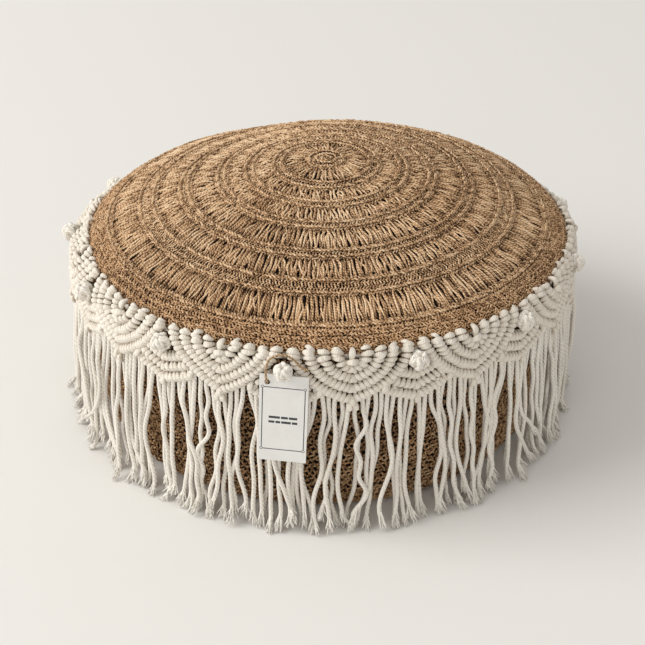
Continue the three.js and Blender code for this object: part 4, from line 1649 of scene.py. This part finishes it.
    def build(self, sweep: SweptYarn, hitches: Stitches, knots: Stitches, cord: Finish,
              ball_cord: Finish) -> None:
        """Make a band piece for each chevron, a knot for each berry and the holding cord."""
        rng = seeded(97)
        for sector in range(SECTORS):
            lines, outs, leans = self.rows(sector)
            fine = [resample(line, 0.0035) for line in lines]
            sizes = []
            for line, out, lean, new in zip(lines, outs, leans, fine):
                mark = np.linspace(0, 1, len(new))
                old = np.linspace(0, 1, len(line))
                sizes.append((np.stack([np.interp(mark, old, out[:, i]) for i in range(3)], 1),
                              np.full(len(new), lean[0]), rng.uniform(0.93, 1.08, (len(new), 3))))
            rows = hitches.run(
                f"band_rows_{sector + 1:02d}",
                guide_lines(fine, out=[s[0] for s in sizes], lean=[s[1] for s in sizes],
                            grow=[s[2] for s in sizes]),
                cord, stitch_length=2 * self.rope_half, rise=0.0045, sway=0.0, yarn_radius=0.00258,
                taper=0.58,
                sides=12, stations=6, plies=2, ply_depth=0.14, slant=0.34, turn_jitter=0.17,
                pitch=self.pitch, core_radius=0.0026, seed=100 + sector)
            loops = self._loose_knots(sector, rng)
            loose = lay_stitches(knots, f"band_knots_{sector + 1:02d}", [loops], cord,
                                 stitch_length=0.0098, rise=0.0042, sway=0.0, yarn_radius=0.00255,
                                 taper=0.62, sides=12, stations=7, plies=2, ply_depth=0.13,
                                 turn_jitter=0.15, seed=200 + sector)
            for piece in (rows, loose):
                settle(piece, "root", "cotton_cord", f"macrame_{sector + 1:02d}")
        for number in range(SECTORS):
            guide = cord_guide(self.berry_line(number, rng), 0.6, closed=True)
            berry = sweep.run(f"berry_{number + 1:02d}", guide, ball_cord,
                              yarn_radius=self.ball_cord_radius, sides=10, plies=3, ply_depth=0.0,
                              twist=0.0)
            berry = join([berry, self._berry_core(number, sweep, ball_cord)])
            settle(berry, "root", "cotton_cord", f"berry_knot_{number + 1:02d}")
        azimuth = np.arange(560) * TURN / 560
        path = polar(azimuth, 0.2715 + HAND.stand_out(azimuth, 210.0), 0.2065 - HAND.lowered(azimuth))
        # The holding cord gets painted shade, as it lies under the rows' ends.
        holding = sweep.run("band_holding_cord", cord_guide(path, dip=0.3, closed=True), cord,
                            yarn_radius=0.0028, sides=9, plies=3, ply_depth=0.16, twist=320.0)
        settle(holding, "root", "cotton_cord", "holding_cord")


def settle(piece: Piece, body: str, slot: str, *nodes: str) -> Piece:
    """Make a piece ride on a body and let it stand for CAD nodes."""
    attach(piece, body)
    if nodes:
        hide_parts(*nodes)
    return piece


# ---------------------------------------------------------------- fringe


@dataclass
class FringeCord:
    """One hanging cord."""

    path: Array
    tone: float


@dataclass
class Fringe:
    """Twenty three-ply cords under each chevron, hanging to the floor with frayed ends.

    A distance round the cushion is turned into azimuth at middle_arc half-way down and at floor_arc at
    the cords' ends.
    """

    band: KnottedBand
    per_sector: int = 20
    cord_radius: float = 0.00245
    top_radius: float = 0.2795
    foot_radius: float = 0.2868
    declared: tuple[int, ...] = (3, 10, 16)
    stations: int = 46
    stray_share: float = 0.09
    lowest: float = 0.0034
    tuft_fibres: int = 18
    bunch_sizes: tuple[int, ...] = (1, 2, 3, 4, 5, 6)
    bunch_odds: tuple[float, ...] = (0.10, 0.16, 0.24, 0.24, 0.16, 0.10)
    middle_arc: float = 0.29
    floor_arc: float = 0.295
    reach: float = 0.3035
    seed: int = 5

    def edge_height(self, across: float) -> float:
        """Lower edge of the band, in millimetres, at a distance from a chevron's middle."""
        u = abs(across)
        notch, beyond = 34, 34.4
        if u < notch:
            return 155 + 18 * u / notch
        return 173 - 20 * (u - notch) / beyond

    def _bunches(self, rng: Random, total: int) -> list[Triple]:
        """Gather neighbouring cords in bunches.

        Args:
            rng: source of unevenness.
            total: cords round the whole cushion.

        Returns:
            For each cord, its azimuth where its bunch is tightest, how far down that is, and its azimuth
            at the floor.
        """
        arc = TURN / total
        bunches = []
        k = 0
        while k < total:
            size = min(int(rng.choice(self.bunch_sizes, p=self.bunch_odds)), total - k)
            middle = (k + size / 2) * arc + rng.normal(0, 0.55) * arc
            tightest = rng.uniform(0.5, 0.85)
            order = rng.permutation(size) if rng.random() < 0.3 else np.arange(size)
            splay = rng.uniform(0.0055, 0.0085) / self.floor_arc
            swing = rng.normal(0, 0.004) / self.floor_arc
            for place in order:
                rank = place - (size - 1) / 2
                footing = middle + swing + rank * splay + rng.normal(0, 0.0022) / self.floor_arc
                bunches.append((middle + rank * 0.0046 / self.middle_arc, tightest, footing))
            k += size
        return bunches

    def hang(self) -> list[FringeCord]:
        """Work out every cord's path, in order round the cushion."""
        rng = seeded(self.seed)
        total = SECTORS * self.per_sector
        arc = TURN / total
        cords = []
        t = np.linspace(0, 1, self.stations)
        for k, (gathered, tightest, footing) in enumerate(self._bunches(rng, total)):
            across = (k % self.per_sector + 0.5) / self.per_sector * 2 * self.band.half_width
            across = across - self.band.half_width
            start = (k + 0.5) * arc
            edge = self.edge_height(across) + 3.5
            top = edge * MM - float(HAND.lowered(start)) * max(0.0, (edge - 150) / 62)
            stray = rng.random() < self.stray_share
            foot = self.lowest + abs(rng.normal(0, 0.0080))
            ahead = 0.0016 if k % 2 else -0.0014
            if stray:
                footing = gathered + rng.choice([-1, 1]) * rng.uniform(0.010, 0.030) / self.floor_arc
                foot = rng.uniform(0.004, 0.050)
                ahead = 0.0052
            keys = np.array([-0.15, 0.0, tightest, 1.0, 1.2])
            turns = np.array([start, start, gathered, footing, footing + (footing - gathered) * 0.3])
            azimuth = smooth_values(t, keys, turns)
            for size, low, high in ((0.0025, 0.7, 1.5), (0.0013, 2.0, 3.6)):
                azimuth = azimuth + rng.normal(0, size) / self.middle_arc * np.minimum(1, 3.5 * t) * np.sin(
                    TURN * rng.uniform(low, high) * t + rng.uniform(0, ANY_PHASE))
            radius = self.top_radius + (self.foot_radius + rng.normal(0, 0.0030) - self.top_radius) * t**1.1
            radius = radius + HAND.stand_out(start, 160.0) * (1 - t**3)
            radius = radius + (ahead + rng.normal(0, 0.0006)) * np.minimum(1, 3 * t) + rng.normal(
                0, 0.0012) * np.sin(t * 6 + rng.uniform(0, ANY_PHASE)) * t
            height = top + (foot - top) * t
            kick = np.clip((t - 0.90) / 0.10, 0, 1) ** 1.6
            radius = radius + kick * rng.uniform(0.0, 0.006) * (foot < 0.012)
            radius = np.minimum(radius, self.reach)
            cords.append(FringeCord(polar(azimuth, radius, height), float(rng.uniform(0.3, 0.8))))
        return cords

    def _tuft(self, cord: FringeCord, rng: Random) -> list[Array]:
        """Loose fibres at a cord's end."""
        end = cord.path[-1]
        back = cord.path[-5]
        down = unit(end - back)
        outward = unit(np.array([end[0], end[1], 0.0]))
        around = np.cross(outward, [0, 0, 1.0])
        fibres = []
        spread = rng.uniform(0.7, 1.9)
        length = rng.uniform(0.010, 0.017)
        for _ in range(self.tuft_fibres):
            angle = rng.uniform(0, ANY_PHASE)
            ring = outward * math.cos(angle) * 0.6 + around * math.sin(angle)
            root = back + (end - back) * rng.uniform(0.2, 0.95) + ring * 0.0012
            lean = rng.uniform(0.1, 1.0) * spread
            reach = length * rng.uniform(0.7, 1.05)
            way = unit(down * 0.8 + outward * 0.35)
            middle = root + way * reach * 0.5 + ring * 0.0014 * lean
            tip = root + way * reach + ring * 0.0036 * lean + outward * 0.001
            line = np.array([root, middle, tip])
            line[:, 2] = np.maximum(line[:, 2], 0.0008 + rng.uniform(0, 0.0016))
            fibres.append(line)
        return fibres

    def _sweep(self, name: str, cords: list[FringeCord], tufts: list[Array], sweep: SweptYarn,
               finish: Finish) -> Piece:
        """Make cords and tufts into one piece."""
        lines = [cord.path for cord in cords]
        shades = [np.full(len(cord.path), cord.tone) for cord in cords]
        thick = [np.concatenate([np.ones(len(cord.path) - 3), [1.0, 0.92, 0.62]]) for cord in cords]
        guide = guide_lines(lines, shade=shades, dip=[np.zeros(len(x)) for x in lines], thick=thick)
        piece = sweep.run(name, guide, finish, yarn_radius=self.cord_radius, sides=9, plies=3,
                          ply_depth=0.0, twist=0.0)
        if tufts:
            n = len(tufts)
            guide = guide_lines(tufts, shade=[np.full(3, 1.9)] * n, dip=[np.zeros(3)] * n,
                                thick=[np.array([1.0, 0.9, 0.4])] * n)
            hair = sweep.run(name + "_ends", guide, finish, yarn_radius=0.00105, sides=4, plies=1,
                             ply_depth=0.0, twist=0.0)
            piece = join([piece, hair])
        return piece

    def build(self, sweep: SweptYarn, finish: Finish) -> None:
        """Make the fringe in thirteen pieces, with some cords of each as free cords of their own."""
        rng = seeded(self.seed + 1)
        cords = self.hang()
        for sector in range(SECTORS):
            mine = cords[sector * self.per_sector:(sector + 1) * self.per_sector]
            tufts = [fibre for cord in mine for fibre in self._tuft(cord, rng)]
            rest = [cord for i, cord in enumerate(mine) if i not in self.declared]
            piece = self._sweep(f"fringe_cords_{sector + 1:02d}", rest, tufts, sweep, finish)
            settle(piece, "root", "cotton_fringe", f"fringe_{sector + 1:02d}")
            for letter, index in zip("abc", self.declared):
                cord = mine[index]
                single = self._sweep(f"fringe_cord_{sector + 1:02d}{letter}", [cord], [], sweep, finish)
                settle(single, "root", "cotton_fringe", f"fringe_{sector + 1:02d}")


def join(pieces: list[Piece]) -> Piece:
    """Join plain meshes into the first.

    Args:
        pieces: objects at the origin.

    Returns:
        The first object, which holds them all.
    """
    with bpy.context.temp_override(active_object=pieces[0], selected_editable_objects=pieces):
        bpy.ops.object.join()
    return pieces[0]


# ---------------------------------------------------------------- tag


@dataclass
class SwingTag:
    """White card on jute twine, with a thin printed frame."""

    hole: Triple = (-0.017, -0.28609, 0.18374)
    lean: float = math.radians(5.66)
    roll: float = math.radians(1.5)
    hole_in: float = 0.008
    hole_down: float = 0.009
    width: float = 0.050
    height: float = 0.100
    thickness: float = 0.0008
    twine_radius: float = 0.00112

    def _on_card(self, x: float, z: float, proud: float) -> Triple:
        """A place on the card's face, from its top left corner, in the object's frame."""
        local = np.array([x - self.hole_in, -self.thickness - proud, self.hole_down - z])
        c, s = math.cos(self.roll), math.sin(self.roll)
        turned = np.array([c * local[0] + s * local[2], local[1], -s * local[0] + c * local[2]])
        c, s = math.cos(-self.lean), math.sin(-self.lean)
        leant = np.array([turned[0], c * turned[1] - s * turned[2], s * turned[1] + c * turned[2]])
        return tuple(leant + np.array(self.hole))

    def _strokes(self) -> list[tuple[float, float, float, float]]:
        """Printed bars as left, top, width and height, in metres on the card."""
        line, ring = 0.00092, 0.0030
        word_gap, word_height, first_row, row_pitch = 0.0011, 0.0026, 0.0475, 0.0054
        left, right, top, bottom = 0.0030, self.width - 0.0036, 0.0140, self.height - 0.0140
        wide, tall = right - left - ring, bottom - top - ring
        bars = [(left + ring / 2, top, wide, line), (left + ring / 2, bottom, wide, line),
                (left, top + ring / 2, line, tall), (right, top + ring / 2, line, tall)]
        for row, words in enumerate(((0.0115, 0.0070, 0.0085), (0.0062, 0.0048, 0.0098, 0.0055))):
            x = (self.width - sum(words) - word_gap * (len(words) - 1)) / 2
            for word in words:
                bars.append((x, first_row + row * row_pitch, word, word_height))
                x += word + word_gap
        return bars

    def _rings(self) -> list[tuple[float, float]]:
        """Middles of the small printed rings at the frame's corners."""
        left, right, top, bottom = 0.0033, self.width - 0.0033, 0.0143, self.height - 0.0137
        return [(x, y) for x in (left, right) for y in (top, bottom)]

    def build(self, sweep: SweptYarn, card: Finish, ink: Finish, jute: Finish) -> None:
        """Dress the card, print its frame and tie its twine."""
        card.dress(frame["nodes"]["tag_card"])
        points, faces = [], []
        sunk, raised = -0.00003, 0.00006
        for left, top, width, height in self._strokes():
            start = len(points)
            right, bottom = left + width, top + height
            for proud in (sunk, raised):
                for x, z in ((left, top), (right, top), (right, bottom), (left, bottom)):
                    points.append(self._on_card(x, z, proud))
            a = start
            faces.append((a + 4, a + 7, a + 6, a + 5))
            faces.append((a, a + 1, a + 2, a + 3))
            for i in range(4):
                j = (i + 1) % 4
                faces.append((a + i, a + 4 + i, a + 4 + j, a + j))
        for x, z in self._rings():
            start = len(points)
            turns = 20
            inner, outer = 0.00105, 0.0016
            for radius, proud in ((inner, sunk), (inner, raised), (outer, raised), (outer, sunk)):
                for i in range(turns):
                    angle = TURN * i / turns
                    ahead, down = radius * math.cos(angle), radius * math.sin(angle)
                    points.append(self._on_card(x + ahead, z + down, proud))
            for loop in range(4):
                after = (loop + 1) % 4
                for i in range(turns):
                    j = (i + 1) % turns
                    faces.append((start + loop * turns + i, start + loop * turns + j,
                                  start + after * turns + j, start + after * turns + i))
        mesh = bpy.data.meshes.new("tag_print")
        mesh.from_pydata(points, [], faces)
        printed = add_piece("tag_print", mesh)
        ink.dress(printed)
        settle(printed, "tag_card", "tag_paper")
        self._tie(sweep, jute)

    def _tie(self, sweep: SweptYarn, jute: Finish) -> None:
        """The twine, from the card's hole over the neck of the berry knot to its knot."""
        y = self.hole[1] * 1000
        face, front = -285.0, y - 0.8
        route = np.array([[-17, y + 0.2, 183.14], [-17, front - 1.8, 186.14], [-18, front - 2.4, 195.74],
                          [-15.5, face - 1.5, 209], [-6.5, face, 215], [3, face, 215.5], [11, face, 210],
                          [17, face, 203], [25, face, 199.5]]) * MM
        path = smooth_line(route, 0.0012)
        twine = sweep.run("tag_twine_cord", cord_guide(path), jute, yarn_radius=self.twine_radius,
                          sides=8, plies=2, ply_depth=0.16, twist=900.0)
        settle(twine, "tag_twine", "jute_twine", "tag_twine")


# ---------------------------------------------------------------- filling and zip


@dataclass
class Filling:
    """What is inside: cloth bag, foam disc and loose fibre. The bag's near-black colour is partly painted
    shade for the gaps between the stitches.
    """

    form: CushionForm
    liner_inset: float = 0.0030

    def build(self, cloth: Finish, foam: Finish, fibre: Finish) -> None:
        """Make the cloth bag and dress what it holds."""
        mesh = self.form.closed_mesh("filled_liner", self.liner_inset)
        spots = vertex_values(mesh)
        lowest = 0.0075
        low = spots[:, 2] < lowest
        spots[low, 2] = lowest + 0.1 * (spots[low, 2] - lowest)
        mesh.vertices.foreach_set("co", spots.ravel())
        mesh.update()
        bag = add_piece("filled_liner", mesh)
        cloth.dress(bag)
        settle(bag, "root", "liner_cloth", "liner")
        self._lumped("fibre_wad", "fibre_fill", "fibre", fibre, 0.004, 0.005)
        self._lumped("foam_core", "foam_disc", "foam", foam, 0.0012, 0.0)

    def _lumped(self, name: str, node: str, slot: str, finish: Finish, depth: float,
                margin: float) -> None:
        """A soft copy of a CAD solid, merged, with an uneven skin that stays inside it."""
        mesh = frame["nodes"][node].data.copy()
        piece = add_piece(name, mesh)
        merge = piece.modifiers.new("Merge", "WELD")
        merge.merge_threshold = 1e-5
        divide = piece.modifiers.new("Divide", "SUBSURF")
        divide.subdivision_type = "SIMPLE"
        divide.levels = 3
        divide.render_levels = 3
        graph = bpy.context.evaluated_depsgraph_get()
        soft = bpy.data.meshes.new_from_object(piece.evaluated_get(graph), depsgraph=graph)
        drop(piece)
        spots, ways = vertex_values(soft), vertex_values(soft, "normal")
        rng = seeded(len(name))
        bulge = np.zeros(len(spots))
        for _ in range(10):
            wave = rng.normal(0, 60, 3)
            bulge += np.sin(spots @ wave + rng.uniform(0, ANY_PHASE)) / 10
        spots -= ways * ((1 + bulge) * depth + margin)[:, None]
        soft.vertices.foreach_set("co", spots.ravel())
        soft.shade_smooth()
        piece = add_piece(name, soft)
        finish.dress(piece)
        settle(piece, "root", slot, node)


@dataclass
class BaseZip:
    """The zip in the base: woven tapes, a row of brass teeth, slider and pull."""

    length: float = 0.400
    tooth_pitch: float = 0.0028
    height: float = 0.0029
    end_gap: float = 0.004
    tooth_reach: float = 0.00055
    slider_room: tuple[float, float] = (0.002, 0.018)

    def build(self, teeth: Stitches, tape: Finish, brass: Finish) -> None:
        """Dress the zip's own solids and set its teeth."""
        for node, finish in (("zip_tape_front", tape), ("zip_tape_back", tape), ("zip_slider", brass),
                             ("zip_pull", brass)):
            finish.dress(frame["nodes"][node])
        low, _ = (np.array(corner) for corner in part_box("zip_slider"))
        half = self.length / 2
        before, after = self.slider_room
        x = np.arange(-half + self.end_gap, half - self.end_gap, self.tooth_pitch)
        x = x[(x < low[0] - before) | (x > low[0] + after)]
        side = np.where(np.arange(len(x)) % 2 == 0, 1.0, -1.0)
        at = np.stack([x, side * self.tooth_reach, np.full(len(x), self.height)], 1)
        flat = np.zeros((len(x), 3))
        out = flat + np.array([0, 0, -1.0])
        along = flat + np.array([0, 1.0, 0])
        row = teeth.run("zip_teeth", guide_points(at, out=out, along=along, grow=flat + 1.0),
                        brass, stitch_length=0.0032, rise=0.0007, sway=0.0, yarn_radius=0.00075,
                        taper=0.8, sides=6, stations=4, turn_jitter=0.0, seed=3)
        settle(row, "root", "zip_brass")


# ---------------------------------------------------------------- assembly


def report(name: str, pieces: Iterable[Piece]) -> None:
    """Log how many triangles a group of pieces holds."""
    count = 0
    for piece in pieces:
        count += sum(len(face.vertices) - 2 for face in piece.data.polygons)
    LOG.info("%s: %d triangles", name, count)


def main() -> None:
    """Build the cushion in order."""
    logging.basicConfig(level=logging.INFO, format="%(message)s")
    studio = Studio()
    studio.place_camera()

    sweep = SweptYarn()
    on_points = Stitches(Follow.POINTS)
    on_rows = Stitches(Follow.ROWS)
    top_yarn = grass_yarn("Grass yarn, top", TOP_TONES)
    side_yarn = grass_yarn("Grass yarn, side", SIDE_TONES)
    band_cord = cotton_cord("Cotton cord, knotted", 0.0, 0.36, 0.55)
    fringe_cord = cotton_cord("Cotton cord, three-ply", 0.0052, 0.42)
    brass = aged_brass()

    band = KnottedBand()
    fringe = Fringe(band)
    fringe.build(sweep, fringe_cord)
    report("fringe", [o for o in bpy.data.objects if o.name.startswith("fringe_cord")])
    SwingTag().build(sweep, card_stock(), printing_ink(), jute_twine())
    report("tag", [bpy.data.objects["tag_print"]])

    form = CushionForm()
    form.stuff()
    # The liner's near-black colour is partly its own and partly painted shade for the gaps between the
    # stitches.
    Filling(form).build(woven_cloth("Liner cloth", (0.009, 0.0045, 0.003), (0.042, 0.023, 0.013), 0.0012),
                        open_foam(), loose_fibre())

    edge_yarn = grass_yarn("Grass yarn, top edge", EDGE_TONES)
    for label, slot, node, pieces in (
            ("crocheted top", "grass_top", "top_cover",
             CrochetTop(form).build(sweep, on_points, top_yarn, edge_yarn)),
            ("crocheted side", "grass_side", "side_cover", CrochetSide(form).build(on_points, side_yarn)),
            ("crocheted base", "grass_side", "base_cover",
             CrochetBase(form).build(sweep, on_points, side_yarn))):
        for piece in pieces:
            settle(piece, "root", slot, node)
        report(label, pieces)
    for seam in (SeamCord("seam_cord_top", "top_seam_cord", 0.2061, form),
                 SeamCord("seam_cord_base", "base_seam_cord", 0.0149, form)):
        piece = settle(seam.build(sweep, side_yarn), "root", "grass_side", seam.node)
        report(seam.name, [piece])

    band.build(sweep, on_rows, on_points, band_cord, fringe_cord)
    report("knotted band", [o for o in bpy.data.objects if o.name.startswith(("band_", "berry_"))
                            and o.name not in frame["nodes"]])
    tape = woven_cloth("Zip tape", (0.03, 0.018, 0.01), (0.11, 0.07, 0.045), 0.0008)
    BaseZip().build(on_points, tape, brass)
    report("zip teeth", [bpy.data.objects["zip_teeth"]])

    studio.lay_floor()
    studio.light()


if __name__ == "__main__":
    main()
